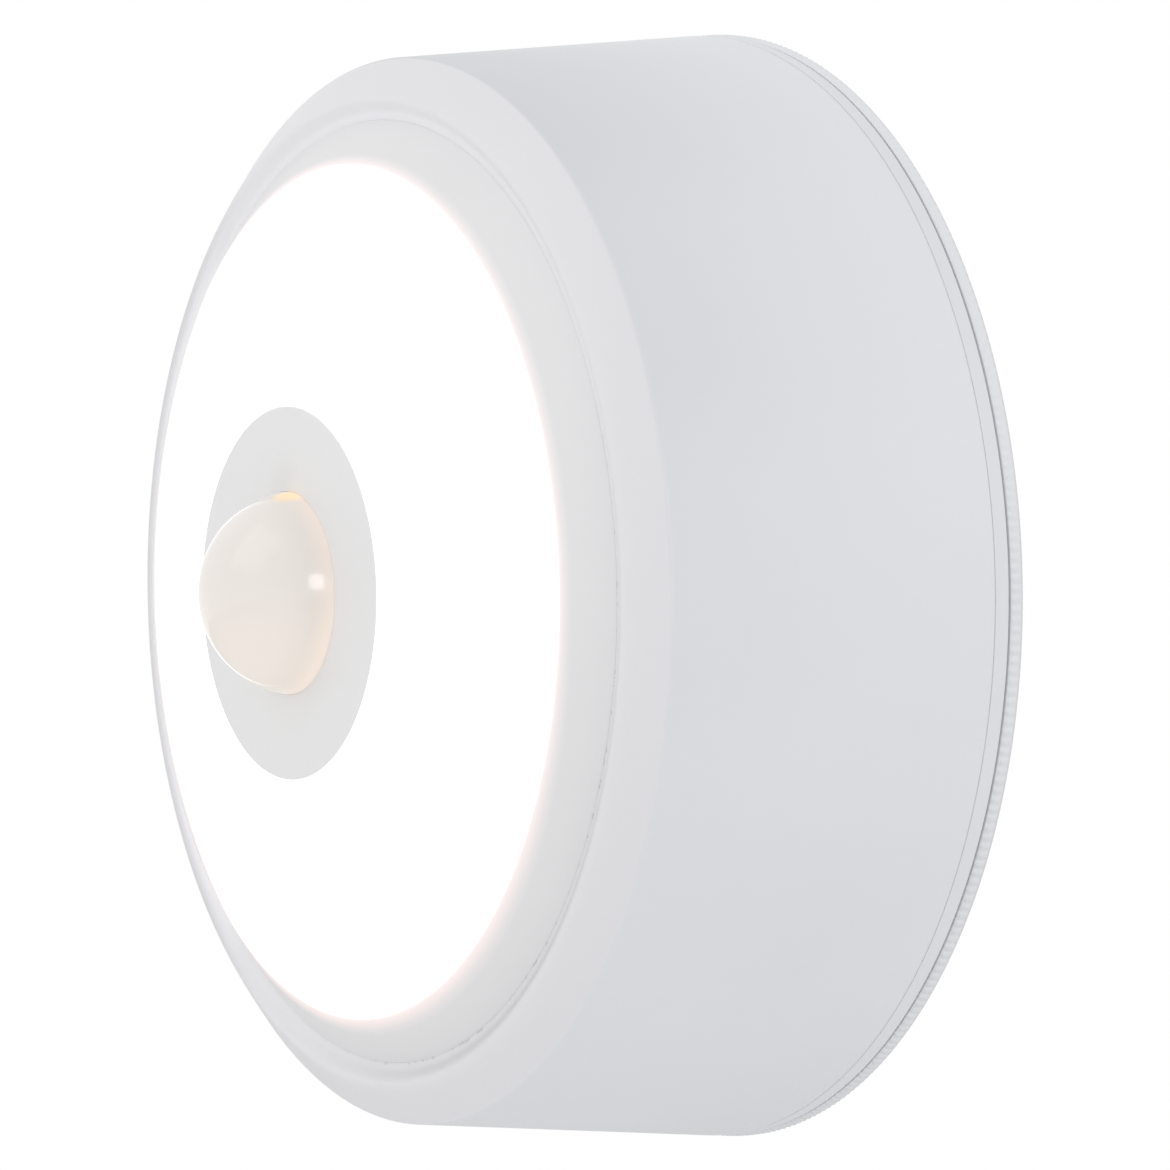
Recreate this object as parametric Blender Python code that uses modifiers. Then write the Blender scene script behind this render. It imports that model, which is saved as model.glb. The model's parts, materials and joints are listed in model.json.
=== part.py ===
"""Battery-powered ceiling light with a motion sensor, on a twist-lock mounting plate.

Metres, +Z up. Every piece is modelled as the light lies on a bench, mounting face down on z = 0 and its axis
along +Z. An empty then turns the whole light, so that it faces -Y and its mounting face is the plane y = 0.
"""

from math import cos, hypot, pi, radians, sin

import bmesh
import bpy
from mathutils import Vector

# Clearances and allowances
GAP = 0.0003
TURN_GAP = 0.0004
OVERRUN = 0.0010
EMBED = 0.0005
MERGE_DISTANCE = 0.00001

# D cells, two rows of two
CELLS_PER_ROW = 2
CELL_RADIUS = 0.0171
CELL_LENGTH = 0.0615
CELL_TERMINAL_RADIUS = 0.00475
CELL_TERMINAL_HEIGHT = 0.0015
CELL_EDGE = 0.0008
CELL_ROW_GAP = 0.0006
CELL_SIDE_ROOM = 0.0010
CELL_BACK_ROOM = 0.0049

# Contacts at the ends of the rows
CONTACT_THICKNESS = 0.0005
CONTACT_WIDTH = 0.0180
CONTACT_HEIGHT = 0.0180
CONTACT_CORNER = 0.0025
SPRING_LENGTH = 0.0059
SPRING_WIRE_RADIUS = 0.0004
SPRING_WIDE_RADIUS = 0.0072
SPRING_NARROW_RADIUS = 0.0042
SPRING_TURNS = 4
SPRING_POINTS_PER_TURN = 9

# Mounting plate
PLATE_THICKNESS = 0.0020
RIM_STEP = 0.0003
KEYHOLE_PLACE = 0.0420
KEYHOLE_HEAD_RADIUS = 0.0045
KEYHOLE_NECK_RADIUS = 0.0023
KEYHOLE_NECK_LENGTH = 0.0090
KEYHOLE_LAND_WIDTH = 0.0036
KEYHOLE_LAND_CORNER = 0.0030
KEYHOLE_LAND_HEIGHT = 0.0008
PLATE_RIB_HALF_LENGTH = 0.0340
PLATE_RIB_WIDTH = 0.0020
PLATE_RIB_ROOM = 0.0006

# Bayonet between the plate and the light
TWIST = radians(20)
HOOK_COUNT = 4
HOOK_POST_ANGLE = radians(5)
HOOK_TAB_ANGLE = radians(10)
HOOK_ANGLE_CLEARANCE = radians(0.6)
HOOK_ROOM = 0.0008
HOOK_DEPTH = 0.0024
HOOK_CLEARANCE = 0.0004
HOOK_THICKNESS = 0.0018

# Battery tray
FLANGE_THICKNESS = 0.0022
FLANGE_MARGIN = 0.0043
POCKET_WALL = 0.0016
POCKET_CORNER_ALONG = 0.0026
POCKET_CORNER_ACROSS = 0.0056
CUP_RADIUS = 0.0044
CUP_DEPTH = 0.0038
CUP_FLOOR = 0.0016
TOWER_BOSS_RADIUS = 0.0026
TOWER_BOSS_LENGTH = 0.0060

# Housing
WALL = 0.0022
WALL_DRAFT = 0.0042
NOSE_WIDTH = 0.0095
NOSE_DEPTH = 0.0039
NOSE_ROUND = 0.0009
NOSE_ROUND_POINTS = 3
NOSE_SETBACK_SHARE = 0.4
CROWN_INSET = 0.0022
CROWN_WIDTH = 0.0014
CROWN_RISE = 0.0012
CROWN_POINTS = 3
LIP_THICKNESS = 0.0022
BASE_EDGE = 0.0004
COLUMN_RADIUS = 0.0032
COLUMN_SINK_SHARE = 0.6
COLUMN_COUNT = 4
COLUMN_BORE_DEPTH = 0.0140

# Round inner frame that carries the LED board
CARRIER_THICKNESS = 0.0020
CARRIER_RIM_WALL = 0.0020
CARRIER_RIM_HEIGHT = 0.0067
LED_BOSS_RADIUS = 0.0030
LED_BOSS_HEIGHT = 0.0022
LED_SCREW_INSET = 0.0040
LED_SCREW_ANGLE = radians(60)
CABLE_HOLE_RADIUS = 0.0024
SEAL_THICKNESS = 0.0009
SEAL_WIDTH = 0.0030

# LED board and reflector
LED_BOARD_THICKNESS = 0.0016
LED_BOARD_INNER_RADIUS = 0.0280
LED_BOARD_OUTER_RADIUS = 0.0560
LED_COUNT = 8
LED_SIZE = 0.0050
LED_HEIGHT = 0.0014
LED_EDGE = 0.0004
REFLECTOR_WALL = 0.0012
REFLECTOR_FLOOR_INSET = 0.0005
REFLECTOR_WINDOW_ROOM = 0.0004
REFLECTOR_TOP_ROOM = 0.0022

# Diffuser
DIFFUSER_WALL = 0.0020
DIFFUSER_FLANGE_THICKNESS = 0.0015
DIFFUSER_PROUD = 0.0003
BAND_WIDTH = 0.0057
BAND_RISE = 0.0048
DOME_RISE = 0.0095
DOME_POINTS = 5
DOME_INNER_POINTS = 2

# Sensor tower, bezel and lens
BEZEL_RADIUS = 0.02705
BEZEL_THICKNESS = 0.0020
BEZEL_EDGE = 0.0004
BEZEL_SKIRT_WALL = 0.0018
TOWER_WALL = 0.0016
TOWER_STEP = 0.0011
TOWER_FLOOR = 0.0018
TOWER_FLANGE_THICKNESS = 0.0015
TOWER_FLANGE_LAP = 0.0022
TOWER_LEDGE_WIDTH = 0.0030
TOWER_LEDGE_THICKNESS = 0.0015
TOWER_SCREW_PLACE = 0.0170
CABLE_NOTCH_WIDTH = 0.0060
CABLE_NOTCH_HEIGHT = 0.0034
LENS_RADIUS = 0.01483
LENS_WALL = 0.0009
LENS_FLANGE_WIDTH = 0.0018
LENS_FLANGE_THICKNESS = 0.0012
LENS_POINTS = 8

# Sensor board
SENSOR_BOARD_THICKNESS = 0.0016
SENSOR_BOARD_DROP = 0.0062
SENSOR_CAN_RADIUS = 0.00455
SENSOR_CAN_HEIGHT = 0.0042
SENSOR_CAN_FOOT_WIDTH = 0.0005
SENSOR_CAN_FOOT_THICKNESS = 0.0006
PHOTOCELL_RADIUS = 0.0025
PHOTOCELL_HEIGHT = 0.0022
PHOTOCELL_PLACE = 0.0105

# Control board
BOARD_LENGTH = 0.0600
BOARD_WIDTH = 0.0240
BOARD_THICKNESS = 0.0016
BOARD_STANDOFF = 0.0074
BOARD_MARGIN = 0.0020
BOARD_BOSS_RADIUS = 0.0028
BOARD_SCREW_INSET = 0.0035
CAPACITOR_RADIUS = 0.0040
CAPACITOR_HEIGHT = 0.0160
INDUCTOR_RADIUS = 0.0045
INDUCTOR_HEIGHT = 0.0070
DRIVER_CHIP_LENGTH = 0.0050
DRIVER_CHIP_WIDTH = 0.0040
DRIVER_CHIP_HEIGHT = 0.0016
CONNECTOR_LENGTH = 0.0075
CONNECTOR_WIDTH = 0.0060
CONNECTOR_HEIGHT = 0.0070
PART_EDGE = 0.0004
PART_SPACING = 0.0012

# Slide switch
SWITCH_LENGTH = 0.0140
SWITCH_WIDTH = 0.0070
SWITCH_TRAVEL = 0.0025
KNOB_LENGTH = 0.0040
KNOB_WIDTH = 0.0024
KNOB_DEPTH = 0.0054

# Screws
SCREW_RADIUS = 0.0012
SCREW_HEAD_RADIUS = 0.0026
SCREW_HEAD_HEIGHT = 0.0014
SCREW_HEAD_CROWN_SHARE = 0.6
SCREW_TIP = 0.0006
HOUSING_SCREW_LENGTH = 0.0120
LED_SCREW_LENGTH = 0.0070
TOWER_SCREW_LENGTH = 0.0090
BOARD_SCREW_LENGTH = 0.0060

# Leads
LEAD_RADIUS = 0.0008
CABLE_RADIUS = 0.0009
LEAD_HOLE_ROOM = 0.0004
BLACK_LEAD_LIFT = -0.0040
RED_LEAD_LIFT = 0.0040

# How finely round shapes are cut
LARGE_STEPS = 48
MIDDLE_STEPS = 32
LENS_STEPS = 28
CELL_STEPS = 20
CUP_STEPS = 20
CAN_STEPS = 18
SMALL_STEPS = 14
SCREW_STEPS = 10
ARC_POINTS = 7
SPRING_TUBE_RESOLUTION = 1
LEAD_TUBE_RESOLUTION = 2
LEAD_POINTS_PER_SPAN = 2
LED_CABLE_POINTS_PER_SPAN = 3

# Half sizes and radii that follow from the battery block outwards
CELL_ROW_Y = CELL_RADIUS + CELL_ROW_GAP / 2
CELL_END_ROOM = GAP + CONTACT_THICKNESS + GAP
POCKET_HALF_LENGTH = CELL_LENGTH + (2 * CELL_END_ROOM + SPRING_LENGTH + 2 * GAP) / 2
POCKET_HALF_WIDTH = CELL_ROW_Y + CELL_RADIUS + CELL_SIDE_ROOM
POCKET_OUTER_LENGTH = POCKET_HALF_LENGTH + POCKET_WALL
POCKET_OUTER_WIDTH = POCKET_HALF_WIDTH + POCKET_WALL
POCKET_REACH = max(
    hypot(POCKET_OUTER_LENGTH - POCKET_CORNER_ALONG, POCKET_OUTER_WIDTH),
    hypot(POCKET_OUTER_LENGTH, POCKET_OUTER_WIDTH - POCKET_CORNER_ACROSS),
)
HOOK_INNER_RADIUS = POCKET_REACH + HOOK_ROOM
HOOK_OUTER_RADIUS = HOOK_INNER_RADIUS + HOOK_DEPTH
FLANGE_RADIUS = HOOK_OUTER_RADIUS + FLANGE_MARGIN
RIM_RADIUS = FLANGE_RADIUS + RIM_STEP
WALL_TOP_RADIUS = FLANGE_RADIUS - WALL_DRAFT
SEAM_RADIUS = WALL_TOP_RADIUS - NOSE_WIDTH
CROWN_RADIUS = SEAM_RADIUS + CROWN_INSET
CROWN_EDGE_RADIUS = CROWN_RADIUS + CROWN_WIDTH
COLUMN_PLACE = WALL_TOP_RADIUS - WALL + WALL * COLUMN_SINK_SHARE - COLUMN_RADIUS
CARRIER_RADIUS = COLUMN_PLACE - COLUMN_RADIUS - GAP

# Heights above the mounting face, from the back of the light to its front
PLATE_TOP = PLATE_THICKNESS
FLANGE_BOTTOM = PLATE_TOP + TURN_GAP
FLANGE_TOP = FLANGE_BOTTOM + FLANGE_THICKNESS
HOOK_TAB_BOTTOM = FLANGE_TOP + TURN_GAP
HOOK_TOP = HOOK_TAB_BOTTOM + HOOK_THICKNESS
HOUSING_BOTTOM = FLANGE_TOP + GAP
CUP_SEAT = FLANGE_BOTTOM + CUP_DEPTH
CUP_TOP = CUP_SEAT + CUP_FLOOR
CELL_BOTTOM = PLATE_TOP + CELL_BACK_ROOM
CELL_AXIS = CELL_BOTTOM + CELL_RADIUS
POCKET_CEILING = CELL_AXIS + CELL_RADIUS + GAP
TRAY_TOP = POCKET_CEILING + POCKET_WALL
CARRIER_BOTTOM = TRAY_TOP + GAP
CARRIER_TOP = CARRIER_BOTTOM + CARRIER_THICKNESS
CARRIER_RIM_TOP = CARRIER_TOP + CARRIER_RIM_HEIGHT
SEAL_BOTTOM = CARRIER_RIM_TOP + GAP
SEAL_TOP = SEAL_BOTTOM + SEAL_THICKNESS
DIFFUSER_BOTTOM = SEAL_TOP + GAP
DIFFUSER_FLANGE_TOP = DIFFUSER_BOTTOM + DIFFUSER_FLANGE_THICKNESS
LIP_BOTTOM = DIFFUSER_FLANGE_TOP + GAP
LIP_TOP = LIP_BOTTOM + LIP_THICKNESS
CROWN_TOP = LIP_TOP + CROWN_RISE
SHOULDER = LIP_TOP - NOSE_DEPTH
LED_BOARD_BOTTOM = CARRIER_TOP + LED_BOSS_HEIGHT + GAP
LED_BOARD_TOP = LED_BOARD_BOTTOM + LED_BOARD_THICKNESS
REFLECTOR_BOTTOM = LED_BOARD_TOP + GAP
REFLECTOR_FLOOR_TOP = REFLECTOR_BOTTOM + REFLECTOR_WALL
BAND_BOTTOM = LIP_TOP + DIFFUSER_PROUD
BAND_TOP = BAND_BOTTOM + BAND_RISE
DISC_TOP = BAND_TOP + DOME_RISE
DISC_BOTTOM = DISC_TOP - BEZEL_THICKNESS
REFLECTOR_TOP = BAND_TOP - DIFFUSER_WALL - REFLECTOR_TOP_ROOM
TOWER_BOTTOM = CARRIER_TOP + GAP
TOWER_FLOOR_TOP = TOWER_BOTTOM + TOWER_FLOOR
TOWER_TOP = DISC_BOTTOM - GAP
LENS_BASE = DISC_BOTTOM - GAP
SENSOR_BOARD_TOP = LENS_BASE - SENSOR_BOARD_DROP
SENSOR_BOARD_BOTTOM = SENSOR_BOARD_TOP - SENSOR_BOARD_THICKNESS
BOARD_BOTTOM = FLANGE_TOP + BOARD_STANDOFF
BOARD_TOP = BOARD_BOTTOM + BOARD_THICKNESS

# Radii at the face
DIFFUSER_RADIUS = SEAM_RADIUS - GAP
DIFFUSER_FLANGE_RADIUS = CARRIER_RADIUS
LIT_RADIUS = DIFFUSER_RADIUS - BAND_WIDTH
DIFFUSER_HOLE_RADIUS = BEZEL_RADIUS + GAP
TOWER_RADIUS = BEZEL_RADIUS - TOWER_STEP
TOWER_INNER_RADIUS = TOWER_RADIUS - TOWER_WALL
TOWER_FLANGE_RADIUS = BEZEL_RADIUS + TOWER_FLANGE_LAP
BEZEL_SKIRT_RADIUS = TOWER_INNER_RADIUS - GAP
BEZEL_HOLE_RADIUS = LENS_RADIUS + GAP
LED_SCREW_PLACE = LED_BOARD_OUTER_RADIUS - LED_SCREW_INSET
LED_RING_RADIUS = (LED_BOARD_INNER_RADIUS + LED_BOARD_OUTER_RADIUS) / 2
REFLECTOR_FLOOR_RADIUS = LED_BOARD_OUTER_RADIUS - REFLECTOR_FLOOR_INSET

# Places on the control board: one row of parts along X, from the battery connector to the LED connector
BOARD_Y = POCKET_OUTER_WIDTH + BOARD_MARGIN + BOARD_WIDTH / 2
BOARD_SCREW_X = BOARD_LENGTH / 2 - BOARD_SCREW_INSET
BOARD_SCREW_Y = BOARD_Y + BOARD_WIDTH / 2 - BOARD_SCREW_INSET
ROUND_PARTS_Y = BOARD_Y + CONNECTOR_WIDTH / 2 + PART_SPACING
CAPACITOR_PLACE = (0, ROUND_PARTS_Y)
INDUCTOR_PLACE = (CAPACITOR_RADIUS + PART_SPACING + INDUCTOR_RADIUS, ROUND_PARTS_Y)
DRIVER_CHIP_PLACE = (
    INDUCTOR_PLACE[0] / 2,
    BOARD_Y - CONNECTOR_WIDTH / 2 - PART_SPACING - DRIVER_CHIP_WIDTH / 2,
)
SENSOR_CONNECTOR_PLACE = (-CAPACITOR_RADIUS - PART_SPACING - CONNECTOR_LENGTH / 2, BOARD_Y)
BATTERY_CONNECTOR_PLACE = (SENSOR_CONNECTOR_PLACE[0] - PART_SPACING - CONNECTOR_LENGTH, BOARD_Y)
LED_CONNECTOR_PLACE = (
    INDUCTOR_PLACE[0] + INDUCTOR_RADIUS + PART_SPACING + CONNECTOR_LENGTH / 2,
    BOARD_Y,
)

# Leads, as routes between their named ends. Their bends follow the free space round the battery pocket.
# Those of the battery leads are shares of the pocket's outer half length and half width and of the height
# of the cells
BLACK_LEAD_BEND_SHARES = [
    (-1.023, 0.469, 0.833),
    (-1.056, 0.539, 0.833),
    (-1.056, 0.701, 0.833),
    (-1.020, 0.903, 0.833),
    (-0.955, 1.089, 0.817),
    (-0.852, 1.186, 0.792),
    (-0.682, 1.280, 0.742),
    (-0.504, 1.332, 0.717),
]
RED_LEAD_BEND_SHARES = [
    (-1.029, -0.469, 1.167),
    (-1.064, -0.391, 1.167),
    (-1.073, -0.162, 1.167),
    (-1.073, 0.377, 1.167),
    (-1.056, 0.701, 1.167),
    (-1.014, 0.903, 1.158),
    (-0.949, 1.094, 1.125),
    (-0.845, 1.199, 1.042),
    (-0.712, 1.294, 0.917),
    (-0.563, 1.388, 0.792),
    (-0.460, 1.418, 0.725),
]
LED_CABLE_BENDS = [
    (0.0191, 0.0511, 0.0250),
    (0.0168, 0.0502, 0.0310),
    (0.0130, 0.0486, 0.0370),
    (0.0120, 0.0480, 0.0410),
]
SENSOR_CABLE_BENDS = [
    (-0.0091, 0.0511, 0.0250),
    (-0.0102, 0.0501, 0.0320),
    (-0.0118, 0.0486, 0.0390),
    (-0.0120, 0.0482, 0.0425),
    (-0.0120, 0.0480, 0.0446),
    (-0.0117, 0.0468, 0.0461),
    (-0.0108, 0.0430, 0.0465),
    (-0.0082, 0.0340, 0.0465),
    (-0.0055, 0.0250, 0.0465),
    (-0.0045, 0.0208, 0.0469),
    (-0.0041, 0.0178, 0.0487),
    (-0.0040, 0.0160, 0.0520),
    (-0.0040, 0.0150, 0.0560),
]
LED_CABLE_HOLE_PLACE = (0.0120, 0.0480)
SENSOR_CABLE_HOLE_PLACE = (-0.0120, 0.0474)
CABLE_NOTCH_PLACE = (-0.0050, 0.0145)


# Scene, collections and frames


def clear_scene():
    for item in list(bpy.data.objects):
        bpy.data.objects.remove(item, do_unlink=True)


def new_collection(name, hidden):
    collection = bpy.data.collections.new(name)
    collection.hide_render = hidden
    bpy.context.scene.collection.children.link(collection)
    return collection


def new_empty(name, parent=None):
    empty = bpy.data.objects.new(name, None)
    empty.parent = parent
    PARTS.objects.link(empty)
    return empty


clear_scene()
PARTS = new_collection("ceiling_light", False)
CUTTERS = new_collection("cutters", True)
BENCH = new_empty("bench_frame")
BENCH.rotation_euler = (pi / 2, 0, 0)
LIGHT = new_empty("light_axis", BENCH)


# Materials


def material(name, colour, roughness, metallic=0.0, transmission=0.0):
    made = bpy.data.materials.new(name)
    made.use_nodes = True
    shader = made.node_tree.nodes["Principled BSDF"]
    shader.inputs["Base Color"].default_value = (*colour, 1.0)
    shader.inputs["Roughness"].default_value = roughness
    shader.inputs["Metallic"].default_value = metallic
    shader.inputs["Transmission Weight"].default_value = transmission
    made.diffuse_color = (*colour, 1.0)
    return made


WHITE_PLASTIC = material("white_plastic", (0.76, 0.76, 0.79), 0.42)
BACK_PLASTIC = material("back_plastic", (0.72, 0.72, 0.75), 0.50)
OPAL_PLASTIC = material("opal_plastic", (0.93, 0.92, 0.90), 0.35)
LENS_PLASTIC = material("milky_lens_plastic", (0.85, 0.81, 0.76), 0.28)
REFLECTOR_WHITE = material("reflector_white", (0.90, 0.90, 0.90), 0.30)
BOARD_GREEN = material("board_green", (0.03, 0.16, 0.07), 0.45)
BOARD_WHITE = material("board_white", (0.80, 0.80, 0.78), 0.40)
LED_YELLOW = material("led_phosphor", (0.92, 0.72, 0.16), 0.40)
SPRING_STEEL = material("nickel_plated_steel", (0.62, 0.61, 0.58), 0.25, 1.0)
SCREW_STEEL = material("zinc_plated_steel", (0.55, 0.56, 0.58), 0.35, 1.0)
CELL_SLEEVE = material("cell_sleeve", (0.10, 0.11, 0.13), 0.38)
CAN_STEEL = material("sensor_can_steel", (0.66, 0.66, 0.66), 0.22, 1.0)
DARK_PLASTIC = material("dark_plastic", (0.03, 0.03, 0.035), 0.45)
SEAL_RUBBER = material("seal_rubber", (0.10, 0.10, 0.10), 0.80)
RED_JACKET = material("red_jacket", (0.45, 0.02, 0.02), 0.45)
BLACK_JACKET = material("black_jacket", (0.02, 0.02, 0.02), 0.45)
GREY_JACKET = material("grey_jacket", (0.30, 0.30, 0.32), 0.50)


# Building shapes


def place(item, collection, parent, finish=None):
    collection.objects.link(item)
    item.parent = parent
    if finish:
        item.data.materials.append(finish)
    if collection is CUTTERS:
        item.hide_render = True
        item.display_type = "WIRE"
    return item


def object_from_bmesh(name, shape, collection, parent, finish=None):
    mesh = bpy.data.meshes.new(name)
    bmesh.ops.recalc_face_normals(shape, faces=shape.faces)
    shape.to_mesh(mesh)
    shape.free()
    return place(bpy.data.objects.new(name, mesh), collection, parent, finish)


def add_cylinder(shape, centre, radius, bottom, top, steps):
    made = bmesh.ops.create_cone(
        shape, cap_ends=True, segments=steps, radius1=radius, radius2=radius, depth=top - bottom
    )
    bmesh.ops.translate(shape, verts=made["verts"], vec=(*centre, (bottom + top) / 2))


def add_box(shape, centre, size):
    made = bmesh.ops.create_cube(shape, size=1)
    bmesh.ops.scale(shape, verts=made["verts"], vec=size)
    bmesh.ops.translate(shape, verts=made["verts"], vec=centre)


def disc(name, radius, bottom, top, steps, parent, finish):
    """A piece that starts as one cylinder on the axis."""
    shape = bmesh.new()
    add_cylinder(shape, (0, 0), radius, bottom, top, steps)
    return object_from_bmesh(name, shape, PARTS, parent, finish)


def pegs(name, places, radius, bottom, top, steps=SCREW_STEPS, parent=LIGHT):
    """Equal cylinders at several places, to be joined to a piece or cut from it."""
    shape = bmesh.new()
    for centre in places:
        add_cylinder(shape, centre, radius, bottom, top, steps)
    return object_from_bmesh(name, shape, CUTTERS, parent)


def box(name, centre, size, collection, parent, finish=None):
    shape = bmesh.new()
    add_box(shape, centre, size)
    return object_from_bmesh(name, shape, collection, parent, finish)


def mesh_from_curve(curve_object, parent, collection, finish=None):
    """The curve as a welded mesh, so that it can be cut, joined or used as a cutter."""
    bpy.context.view_layer.update()
    evaluated = curve_object.evaluated_get(bpy.context.evaluated_depsgraph_get())
    mesh = bpy.data.meshes.new_from_object(evaluated)
    shape = bmesh.new()
    shape.from_mesh(mesh)
    bmesh.ops.remove_doubles(shape, verts=shape.verts, dist=MERGE_DISTANCE)
    bmesh.ops.recalc_face_normals(shape, faces=shape.faces)
    shape.to_mesh(mesh)
    shape.free()
    name = curve_object.name
    bpy.data.objects.remove(curve_object, do_unlink=True)
    mesh.name = name
    mesh.materials.clear()
    return place(bpy.data.objects.new(name, mesh), collection, parent, finish)


def prism(name, outline, bottom, top, collection, parent, finish=None):
    """A flat outline, extruded from one height to another."""
    curve = bpy.data.curves.new(name, "CURVE")
    curve.dimensions = "2D"
    curve.fill_mode = "BOTH"
    curve.extrude = (top - bottom) / 2
    spline = curve.splines.new("POLY")
    spline.points.add(len(outline) - 1)
    spline.use_cyclic_u = True
    for point, (x, y) in zip(spline.points, outline):
        point.co = (x, y, 0, 1)
    flat = bpy.data.objects.new(name, curve)
    CUTTERS.objects.link(flat)
    made = mesh_from_curve(flat, parent, collection, finish)
    made.location.z = (bottom + top) / 2
    return made


def turned(name, profile, steps, collection, parent, finish=None, closed=True):
    """A profile of (radius, height) points turned about Z. It runs down its outer side."""
    mesh = bpy.data.meshes.new(name)
    shape = bmesh.new()
    points = [shape.verts.new((radius, 0, height)) for radius, height in profile]
    for first, second in zip(points, points[1:]):
        shape.edges.new((first, second))
    if closed:
        shape.edges.new((points[-1], points[0]))
    shape.to_mesh(mesh)
    shape.free()
    made = place(bpy.data.objects.new(name, mesh), collection, parent, finish)
    screw = made.modifiers.new("turn", "SCREW")
    screw.axis = "Z"
    screw.angle = 2 * pi
    screw.steps = steps
    screw.render_steps = steps
    screw.use_merge_vertices = True
    screw.merge_threshold = MERGE_DISTANCE
    screw.use_smooth_shade = True
    return made


def apply_boolean(target, cutter, operation):
    modifier = target.modifiers.new(cutter.name, "BOOLEAN")
    modifier.operation = operation
    modifier.solver = "EXACT"
    modifier.object = cutter


def join(target, *others):
    for other in others:
        apply_boolean(target, other, "UNION")


def cut(target, *others):
    for other in others:
        apply_boolean(target, other, "DIFFERENCE")


def round_edges(item, width):
    """A small round on every edge of a piece whose faces are welded."""
    modifier = item.modifiers.new("edge", "BEVEL")
    modifier.width = width
    modifier.segments = 1
    modifier.limit_method = "ANGLE"


def shade(item):
    item.data.shade_smooth()
    item.data.set_sharp_from_angle(angle=radians(35))


def arc(radius, start, end, centre=(0, 0)):
    angles = [start + (end - start) * step / ARC_POINTS for step in range(ARC_POINTS + 1)]
    return [(centre[0] + radius * cos(angle), centre[1] + radius * sin(angle)) for angle in angles]


def sector(name, radii, angles, heights, parent):
    """A piece of a flat ring: inner and outer radius, first and last angle, bottom and top."""
    outline = arc(radii[1], *angles) + arc(radii[0], *reversed(angles))
    return prism(name, outline, *heights, CUTTERS, parent)


def ring_places(radius, count, first):
    angles = [first + 2 * pi * index / count for index in range(count)]
    return [(radius * cos(angle), radius * sin(angle)) for angle in angles]


def cut_corner_outline(half_length, half_width, corner_along, corner_across):
    """A rectangle whose four corners are cut off."""
    quarter = [(half_length, half_width - corner_across), (half_length - corner_along, half_width)]
    left = [(-x, y) for x, y in reversed(quarter)]
    return quarter + left + [(-x, -y) for x, y in quarter] + [(x, -y) for x, y in reversed(quarter)]


def pocket_outline(half_length, half_width):
    """The battery pocket seen from the back; its corners are cut off past the cells' ends."""
    return cut_corner_outline(half_length, half_width, POCKET_CORNER_ALONG, POCKET_CORNER_ACROSS)


def screw(name, x, y, seat, direction, length):
    """A pan-head screw whose head rests over the height seat; direction is +1 with its head at the back."""
    crown = SCREW_HEAD_RADIUS * SCREW_HEAD_CROWN_SHARE
    profile = [
        (0, SCREW_HEAD_HEIGHT),
        (crown, SCREW_HEAD_HEIGHT),
        (SCREW_HEAD_RADIUS, SCREW_HEAD_HEIGHT / 2),
        (SCREW_HEAD_RADIUS, 0),
        (SCREW_RADIUS, 0),
        (SCREW_RADIUS, SCREW_TIP - length),
        (0, -length),
    ]
    made = turned(name, profile, SCREW_STEPS, PARTS, LIGHT, SCREW_STEEL, closed=False)
    made.location = (x, y, seat - direction * GAP)
    if direction > 0:
        made.rotation_euler = (pi, 0, 0)
    return made


# Mounting plate


def keyhole_cutters():
    """Two keyholes; each head hole is on the X axis and each neck runs from it towards +X."""
    heads = [(-KEYHOLE_PLACE, 0), (KEYHOLE_PLACE, 0)]
    bottom = -OVERRUN
    top = PLATE_TOP + KEYHOLE_LAND_HEIGHT + OVERRUN
    yield pegs("keyhole_heads", heads, KEYHOLE_HEAD_RADIUS, bottom, top, CUP_STEPS, BENCH)
    for name, (start, _) in zip(("keyhole_neck_left", "keyhole_neck_right"), heads):
        round_end = arc(KEYHOLE_NECK_RADIUS, -pi / 2, pi / 2, (start + KEYHOLE_NECK_LENGTH, 0))
        outline = [(start, KEYHOLE_NECK_RADIUS), (start, -KEYHOLE_NECK_RADIUS)] + round_end
        yield prism(name, outline, bottom, top, CUTTERS, BENCH)


def keyhole_lands():
    """A raised land round each keyhole, on which the ceiling screw's head seats."""
    half_length = KEYHOLE_HEAD_RADIUS + KEYHOLE_NECK_LENGTH / 2 + KEYHOLE_LAND_WIDTH
    half_width = KEYHOLE_HEAD_RADIUS + KEYHOLE_LAND_WIDTH
    outline = cut_corner_outline(half_length, half_width, KEYHOLE_LAND_CORNER, KEYHOLE_LAND_CORNER)
    for name, side in (("keyhole_land_left", -1), ("keyhole_land_right", 1)):
        land = prism(name, outline, PLATE_TOP - EMBED, PLATE_TOP + KEYHOLE_LAND_HEIGHT, CUTTERS, BENCH)
        land.location.x = side * KEYHOLE_PLACE + KEYHOLE_NECK_LENGTH / 2
        yield land


def hooks():
    """The bayonet hooks: a post through the tray's slot, and a tab that lies over the tray's flange."""
    bottom = PLATE_TOP - EMBED
    for index in range(HOOK_COUNT):
        start = 2 * pi * index / HOOK_COUNT - HOOK_POST_ANGLE / 2
        post_end = start + HOOK_POST_ANGLE
        tab_end = post_end + HOOK_TAB_ANGLE
        hook = sector(
            f"hook_{index + 1}",
            (HOOK_INNER_RADIUS, HOOK_OUTER_RADIUS),
            (start, tab_end),
            (bottom, HOOK_TOP),
            BENCH,
        )
        under_tab = sector(
            f"under_tab_{index + 1}",
            (HOOK_INNER_RADIUS - OVERRUN, HOOK_OUTER_RADIUS + OVERRUN),
            (post_end, tab_end + HOOK_ANGLE_CLEARANCE),
            (bottom - OVERRUN, HOOK_TAB_BOTTOM),
            BENCH,
        )
        cut(hook, under_tab)
        yield hook


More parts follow.
